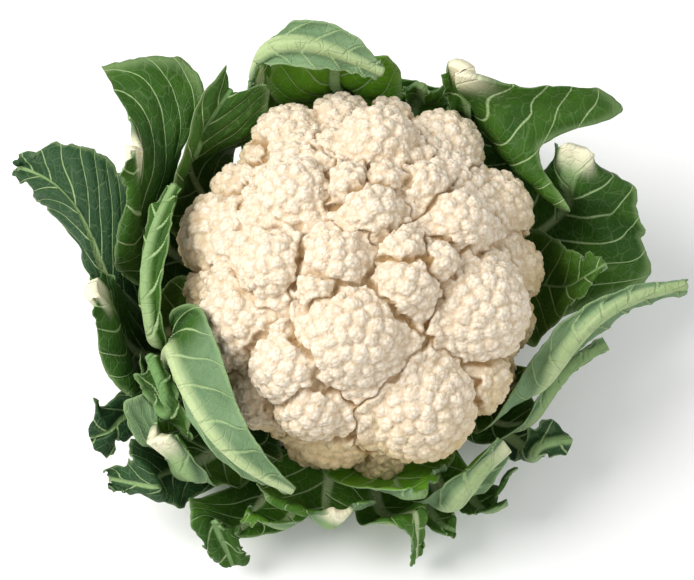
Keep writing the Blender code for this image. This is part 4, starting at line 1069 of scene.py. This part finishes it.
def curd_shell():
    """One closed surface over the core and all the balls."""
    shape = bmesh.new()
    bmesh.ops.create_icosphere(shape, subdivisions=ICOSPHERE_LEVEL, radius=1)
    ways = unit(np.array([v.co[:] for v in shape.verts]))
    middle = np.array([0, 0, HEAD_CENTRE_Z])
    dome = 1 / np.linalg.norm(ways / dome_radii(CORE_DROP), axis=1)
    reach = np.where(ways[:, 2] > -0.2, dome, core_reach(ways))
    for vertex, place in zip(shape.verts, ways * floor_reach(ways, reach)[:, None] + middle):
        vertex.co = place * MM
    ball = bmesh.new()
    bmesh.ops.create_icosphere(ball, subdivisions=BALL_LEVEL, radius=1)
    corners = np.array([v.co[:] for v in ball.verts])
    faces = [[v.index for v in face.verts] for face in ball.faces]
    ball.free()
    core = bpy.data.meshes.new("core")
    shape.to_mesh(core)
    shape.free()
    points = [np.array([v.co[:] for v in core.vertices])]
    triangles = [np.array([p.vertices[:] for p in core.polygons])]
    start = len(points[0])
    balls = [(centre, radius - DRAW_IN) for _, centre, radius, _ in fine_florets()]
    for _, _, lobes in fine_groups():
        balls += lobes
    for centre, radius in balls:
        points.append((centre + corners * radius) * MM)
        triangles.append(np.array(faces) + start)
        start += len(corners)
    mesh = bpy.data.meshes.new("curd_florets")
    mesh.from_pydata(np.concatenate(points).tolist(), [], np.concatenate(triangles).tolist())
    piece = bpy.data.objects.new("curd_florets", mesh)
    bpy.context.scene.collection.objects.link(piece)
    remesh = piece.modifiers.new("joined", "REMESH")
    remesh.mode = "VOXEL"
    remesh.voxel_size = VOXEL * MM
    joined = bpy.data.meshes.new_from_object(piece.evaluated_get(bpy.context.evaluated_depsgraph_get()))
    piece.modifiers.clear()
    piece.data = joined
    return piece


def build_curd():
    """The fine curd, its grains raised on the joined surface, with how deep each point lies."""
    piece = curd_shell()
    mesh = piece.data
    count = len(mesh.vertices)
    places = np.empty(count * 3)
    mesh.vertices.foreach_get("co", places)
    normals = np.empty(count * 3)
    mesh.vertices.foreach_get("normal", normals)
    places, normals = places.reshape(-1, 3) / MM, normals.reshape(-1, 3)
    florets = [(centre, radius) for _, centre, radius, _ in fine_florets()]
    sway = np.column_stack([soft_noise(places / WANDER_CELL, seed) for seed in WANDER_SEEDS])
    lead, floret = nearest_two(places + WANDER * sway, [(np.zeros(3), FAR, florets)])
    lobe_lead, _ = nearest_two(places + 0.3 * WANDER * sway, fine_groups())
    cleft = 1 - smooth_step(lead / CLEFT_WIDTH)
    seam = 1 - smooth_step(lobe_lead / SEAM_WIDTH)
    top = smooth_step((places[:, 2] - HEAD_CENTRE_Z + UNDERSIDE) / 25)
    places = places - normals * ((CLEFT_DEPTH * cleft + SEAM_DEPTH * seam * (1 - cleft)) * top)[:, None]
    grain = cell_domes(places, GRAIN_CELL, 3)
    crumb = cell_domes(places, CRUMB_CELL, 9)
    height = GRAIN_HEIGHT * (grain - 0.9) + CRUMB_HEIGHT * (crumb - 0.7)
    mesh.vertices.foreach_set("co", ((places + normals * height[:, None]) * MM).ravel())
    # Where the curd's lower part gets painted shade, partly its own yellower tone, with a wavering edge.
    side_tone_and_shade = smooth_step((SIDE_HEIGHT - places[:, 2]) / SIDE_FADE + 0.3 * sway[:, 0])
    # The clefts' share is kept so that shade can be painted in them.
    store_values(mesh, {"deep": cleft, "grain": grain, "seam": seam, "side_tone_and_shade": side_tone_and_shade})
    mesh.materials.clear()
    mesh.materials.append(curd_material())
    mesh.shade_smooth()
    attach(piece, BODY)
    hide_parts("curd")


# The colours, as linear red, green and blue.
LEAF_DARK = (0.006, 0.030, 0.005)
LEAF_MIDDLE = (0.015, 0.064, 0.006)
LEAF_BLUISH = (0.020, 0.062, 0.026)
# The bright end of the tint: partly the inner leaves' own yellow-green, partly painted glow of light shining
# through them.
LEAF_FRESH_AND_BACKLIT = (0.06, 0.19, 0.006)
LEAF_YELLOW = (0.13, 0.30, 0.012)
LEAF_VEIN = (0.38, 0.52, 0.24)
LEAF_UNDER = (0.20, 0.31, 0.16)
LEAF_UNDER_DARK = (0.11, 0.20, 0.09)
LEAF_RIM = (0.30, 0.42, 0.19)
LEAF_RIB = (0.58, 0.64, 0.38)
LEAF_RIB_GREEN = (0.32, 0.46, 0.18)
LEAF_RIB_END = (0.13, 0.26, 0.08)
LEAF_CUT = (0.82, 0.78, 0.56)
CURD_PALE = (0.87, 0.785, 0.66)
CURD_CREAM = (0.80, 0.69, 0.53)
# Painted shade between grains and between lobes.
CURD_PAINTED_GAP_SHADE = (0.60, 0.44, 0.26)
# Painted shade on the curd's lower sides, partly the curd's own yellower tone there.
CURD_SIDE_TONE_AND_SHADE = (0.60, 0.48, 0.25)
# Painted shade, darkest in the clefts between florets.
CURD_PAINTED_CLEFT_SHADE = (0.34, 0.20, 0.07)
CURD_SPECK = (0.30, 0.19, 0.09)
STALK_GREEN = (0.42, 0.52, 0.25)
STALK_PALE = (0.66, 0.70, 0.45)
STALK_CUT = (0.78, 0.76, 0.58)
STALK_RING = (0.62, 0.62, 0.40)
STALK_DRY = (0.55, 0.45, 0.28)


class Nodes:
    """Short calls that add nodes to a material and join them."""

    def __init__(self, name):
        self.made = bpy.data.materials.new(name)
        self.made.use_nodes = True
        self.tree = self.made.node_tree
        self.shader = self.tree.nodes["Principled BSDF"]

    def set(self, socket, value):
        if isinstance(value, bpy.types.NodeSocket):
            self.tree.links.new(value, socket)
        else:
            socket.default_value = value

    def math(self, kind, *inputs):
        made = self.tree.nodes.new("ShaderNodeMath")
        made.operation = kind
        for socket, value in zip(made.inputs, inputs):
            self.set(socket, value)
        return made.outputs[0]

    def value(self, name):
        made = self.tree.nodes.new("ShaderNodeAttribute")
        made.attribute_name = name
        return made.outputs["Fac"]

    def ramp(self, value, low, high, to_low=0.0, to_high=1.0):
        made = self.tree.nodes.new("ShaderNodeMapRange")
        made.interpolation_type = "SMOOTHSTEP"
        for socket, given in zip(made.inputs, (value, low, high, to_low, to_high)):
            self.set(socket, given)
        return made.outputs[0]

    def mix(self, share, first, second):
        made = self.tree.nodes.new("ShaderNodeMix")
        made.data_type = "RGBA"
        self.set(made.inputs[0], share)
        self.set(made.inputs[6], first if isinstance(first, bpy.types.NodeSocket) else (*first, 1))
        self.set(made.inputs[7], second if isinstance(second, bpy.types.NodeSocket) else (*second, 1))
        return made.outputs[2]

    def vector(self, x, y, z):
        made = self.tree.nodes.new("ShaderNodeCombineXYZ")
        for socket, value in zip(made.inputs, (x, y, z)):
            self.set(socket, value)
        return made.outputs[0]

    def place(self):
        return self.tree.nodes.new("ShaderNodeTexCoord").outputs["Object"]

    def noise(self, vector, scale, detail=3.0, rough=0.5):
        made = self.tree.nodes.new("ShaderNodeTexNoise")
        self.set(made.inputs["Vector"], vector)
        made.inputs["Scale"].default_value = scale
        made.inputs["Detail"].default_value = detail
        made.inputs["Roughness"].default_value = rough
        return made.outputs["Fac"]

    def cells(self, vector, scale, feature="F1"):
        made = self.tree.nodes.new("ShaderNodeTexVoronoi")
        made.feature = feature
        self.set(made.inputs["Vector"], vector)
        made.inputs["Scale"].default_value = scale
        return made.outputs["Distance"]

    def body(self, specular, weight, radius, scale):
        """How much light the surface throws back, and how it spreads below it."""
        values = {"Specular IOR Level": specular, "Subsurface Weight": weight}
        values.update({"Subsurface Radius": radius, "Subsurface Scale": scale})
        for name, value in values.items():
            self.shader.inputs[name].default_value = value

    def bump(self, height, distance, strength):
        made = self.tree.nodes.new("ShaderNodeBump")
        made.inputs["Distance"].default_value = distance
        made.inputs["Strength"].default_value = strength
        self.set(made.inputs["Height"], height)
        self.set(self.shader.inputs["Normal"], made.outputs[0])


def leaf_material():
    """Waxy leaf: dark green above, grey-green below, with pale ribs, veins and rims, and cream cut ends."""
    found = bpy.data.materials.get("leaf_skin")
    if found:
        return found
    n = Nodes("leaf_skin")
    under, rib, rim = n.value("under"), n.value("rib"), n.value("rim")
    out, tint, cut = n.value("out"), n.value("tint"), n.value("cut")
    phase = n.value("phase")
    to_middle = n.math("ABSOLUTE", n.math("SUBTRACT", n.math("FRACT", phase), 0.5))
    half = n.math("MULTIPLY_ADD", out, -0.045, 0.075)
    vein = n.ramp(to_middle, n.math("SUBTRACT", 0.5, half), 0.485)
    sheet = n.vector(n.value("along"), n.value("side"), n.math("MULTIPLY", tint, 90.0))
    net = n.cells(sheet, 0.17, "DISTANCE_TO_EDGE")
    fine_net = n.cells(sheet, 0.42, "DISTANCE_TO_EDGE")
    small = n.ramp(net, 0.0, 0.07, 1.0, 0.0)
    smaller = n.ramp(fine_net, 0.0, 0.09, 1.0, 0.0)
    cloud = n.ramp(n.noise(n.place(), 42.0, 4.0, 0.6), 0.25, 0.75)
    speck = n.noise(n.place(), 600.0, 2.0, 0.5)
    dark = n.mix(cloud, LEAF_DARK, LEAF_MIDDLE)
    # Bright leaves: partly their own colour, partly painted glow of light shining through them.
    bright = n.mix(cloud, LEAF_FRESH_AND_BACKLIT, LEAF_YELLOW)
    top = n.mix(tint, dark, bright)
    top = n.mix(n.ramp(tint, 0.0, 0.18, 0.75, 0.0), top, LEAF_BLUISH)
    top = n.mix(n.math("MULTIPLY", smaller, 0.05), top, LEAF_VEIN)
    top = n.mix(n.math("MULTIPLY", small, 0.10), top, LEAF_VEIN)
    top = n.mix(n.math("MULTIPLY", vein, 0.8), top, LEAF_VEIN)
    below = n.mix(cloud, LEAF_UNDER_DARK, LEAF_UNDER)
    below = n.mix(n.math("MULTIPLY", small, 0.12), below, LEAF_VEIN)
    below = n.mix(n.math("MULTIPLY", vein, 0.6), below, LEAF_VEIN)
    colour = n.mix(under, top, below)
    colour = n.mix(n.math("MULTIPLY", rim, 0.45), colour, LEAF_RIM)
    streak = n.noise(n.vector(n.math("MULTIPLY", n.value("along"), 0.06), n.value("side"), 0.0), 1.3, 3.0)
    rib_colour = n.mix(streak, LEAF_RIB, LEAF_RIB_GREEN)
    rib_colour = n.mix(n.value("fade"), rib_colour, LEAF_RIB_END)
    colour = n.mix(rib, colour, rib_colour)
    colour = n.mix(cut, colour, LEAF_CUT)
    n.set(n.shader.inputs["Base Color"], colour)
    rough = n.math("MULTIPLY_ADD", under, 0.1, 0.42)
    n.set(n.shader.inputs["Roughness"], n.math("MULTIPLY_ADD", speck, 0.2, rough))
    n.body(specular=0.16, weight=0.05, radius=(0.4, 1.0, 0.2), scale=0.002)
    height = n.math("MULTIPLY_ADD", vein, -0.8, n.math("MULTIPLY", small, -0.35))
    height = n.math("MULTIPLY_ADD", smaller, -0.15, height)
    height = n.math("MULTIPLY_ADD", speck, 0.12, height)
    n.bump(height, 0.0008, 0.8)
    return n.made


def curd_material():
    """Creamy, slightly waxy curd: pale grains, tan painted shade between grains and lobes, painted shade low on
    the sides that is partly the curd's own yellower tone, brown painted shade in the clefts, and a few specks.
    """
    n = Nodes("curd_skin")
    deep, grain, seam = n.value("deep"), n.value("grain"), n.value("seam")
    cloud = n.noise(n.place(), 28.0, 4.0, 0.55)
    crumb = n.noise(n.place(), 900.0, 3.0, 0.6)
    pits = n.cells(n.place(), 210.0)
    light = n.mix(cloud, CURD_PALE, CURD_CREAM)
    # Painted shade on the lower sides, darker and yellower, partly the curd's own tone.
    light = n.mix(n.value("side_tone_and_shade"), light, CURD_SIDE_TONE_AND_SHADE)
    # Painted shade in the gaps between grains and, at half strength, in the seams between lobes.
    colour = n.mix(n.ramp(grain, 0.1, 0.7, 0.5, 0.0), light, CURD_PAINTED_GAP_SHADE)
    colour = n.mix(n.math("MULTIPLY", seam, 0.5), colour, CURD_PAINTED_GAP_SHADE)
    # Painted shade in the clefts between florets, patchy in strength.
    patchy_cleft_shade = n.ramp(n.noise(n.place(), 45.0), 0.36, 0.6, 0.45, 0.95)
    colour = n.mix(n.math("MULTIPLY", n.ramp(deep, 0.2, 0.95), patchy_cleft_shade), colour, CURD_PAINTED_CLEFT_SHADE)
    spread = n.ramp(n.noise(n.place(), 60.0), 0.52, 0.62)
    brown = n.math("MULTIPLY", n.ramp(pits, 0.05, 0.16, 1.0, 0.0), spread)
    colour = n.mix(n.math("MULTIPLY", brown, 0.55), colour, CURD_SPECK)
    n.set(n.shader.inputs["Base Color"], colour)
    n.set(n.shader.inputs["Roughness"], n.math("MULTIPLY_ADD", crumb, 0.2, 0.52))
    n.body(specular=0.3, weight=0.15, radius=(1.0, 0.7, 0.4), scale=0.0012)
    pores = n.math("MULTIPLY", n.cells(n.place(), 800.0), -1.2)
    n.bump(n.math("MULTIPLY_ADD", crumb, 1.0, pores), 0.0005, 0.55)
    return n.made


def stalk_material():
    """Pale green stem with long fibres on its side, and a paler cut end with faint rings."""
    n = Nodes("stalk_skin")
    place = n.place()
    split = n.tree.nodes.new("ShaderNodeSeparateXYZ")
    n.set(split.inputs[0], place)
    x, y, z = split.outputs
    fibres = n.noise(n.vector(x, y, n.math("MULTIPLY", z, 0.08)), 480.0, 3.0)
    cloud = n.noise(place, 90.0, 4.0, 0.6)
    radius = n.math("SQRT", n.math("ADD", n.math("POWER", x, 2.0), n.math("POWER", y, 2.0)))
    rings = n.math("ABSOLUTE", n.math("SINE", n.math("MULTIPLY", radius, 900.0)))
    foot = n.ramp(z, 0.0002, 0.0012, 1.0, 0.0)
    side = n.mix(fibres, STALK_GREEN, STALK_PALE)
    face = n.mix(n.math("MULTIPLY", rings, 0.35), STALK_CUT, STALK_RING)
    face = n.mix(n.math("MULTIPLY", cloud, 0.3), face, STALK_DRY)
    n.set(n.shader.inputs["Base Color"], n.mix(foot, side, face))
    n.set(n.shader.inputs["Roughness"], n.math("MULTIPLY_ADD", cloud, 0.25, 0.42))
    n.bump(n.math("ADD", fibres, cloud), 0.0006, 0.4)
    return n.made


# The view and the light.
FLOOR_SIZE = 6.0
FLOOR_COLOUR = (0.98, 0.98, 0.98)
SENSOR_WIDTH = 36
SURROUND = 0.52
LIGHT_SIZE = 1.0
LIGHT_AIM = (0, 0, 0.05)
KEY = dict(place=(-0.95, 0.05, 1.15), power=22.5, colour=(1.0, 0.985, 0.965))
FILL = dict(place=(0.9, -0.5, 1.0), power=5.0, colour=(0.96, 0.98, 1.0))


def build_floor():
    """A plain pale floor that the stalk stands on."""
    mesh = bpy.data.meshes.new("floor")
    half = FLOOR_SIZE / 2
    corners = [(-half, -half, 0), (half, -half, 0), (half, half, 0), (-half, half, 0)]
    mesh.from_pydata(corners, [], [(0, 1, 2, 3)])
    floor = bpy.data.objects.new("floor", mesh)
    bpy.context.scene.collection.objects.link(floor)
    n = Nodes("floor_paper")
    n.shader.inputs["Base Color"].default_value = (*FLOOR_COLOUR, 1)
    n.shader.inputs["Roughness"].default_value = 0.9
    mesh.materials.append(n.made)
    floor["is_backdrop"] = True


def build_camera():
    """The photo's view: from the front and high up."""
    tilt = math.radians(VIEW_ELEVATION)
    back = Vector((0, -math.cos(tilt), math.sin(tilt)))
    distance = VIEW_DISTANCE * MM
    data = bpy.data.cameras.new("camera")
    camera = bpy.data.objects.new("camera", data)
    bpy.context.scene.collection.objects.link(camera)
    camera.rotation_mode = "QUATERNION"
    camera.rotation_quaternion = (-back).to_track_quat("-Z", "Y")
    camera.location = Vector((0, 0, VIEW_AIM_HEIGHT * MM)) + back * distance
    data.sensor_width = SENSOR_WIDTH
    data.lens = data.sensor_width * distance / (IMAGE_WIDTH * VIEW_UNIT * MM)
    data.shift_x = (IMAGE_WIDTH / 2 - VIEW_MIDDLE[0]) / IMAGE_WIDTH
    data.shift_y = (VIEW_MIDDLE[1] - IMAGE_HEIGHT / 2) / IMAGE_WIDTH
    bpy.context.scene.camera = camera


def add_light(name, place, power, colour):
    """A round soft light that faces the head."""
    data = bpy.data.lights.new(name, "AREA")
    data.shape = "DISK"
    data.size = LIGHT_SIZE
    data.energy = power
    data.color = colour
    light = bpy.data.objects.new(name, data)
    bpy.context.scene.collection.objects.link(light)
    light.location = place
    light.rotation_mode = "QUATERNION"
    light.rotation_quaternion = (Vector(LIGHT_AIM) - Vector(place)).to_track_quat("-Z", "Y")


def build_light():
    """Soft studio light: a broad key from the upper left, and a bright even surround."""
    world = bpy.data.worlds.new("studio")
    bpy.context.scene.world = world
    world.use_nodes = True
    background = world.node_tree.nodes["Background"]
    background.inputs["Color"].default_value = (1.0, 1.0, 1.0, 1)
    background.inputs["Strength"].default_value = SURROUND
    add_light("key", **KEY)
    add_light("fill", **FILL)
    bpy.context.scene.view_settings.view_transform = "Standard"


def main():
    """Sets up the view and the light, and puts the fine pieces in place of the plain solids."""
    build_camera()
    build_light()
    build_floor()
    build_curd()
    for name in LEAVES:
        build_fine_leaf(name)
    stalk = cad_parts["stalk"]
    stalk.data.materials.clear()
    stalk.data.materials.append(stalk_material())
    boxes = {"cad": CAD_BOX, "visual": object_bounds()}
    sizes = {name: [list(corner) for corner in box] for name, box in boxes.items()}


main()
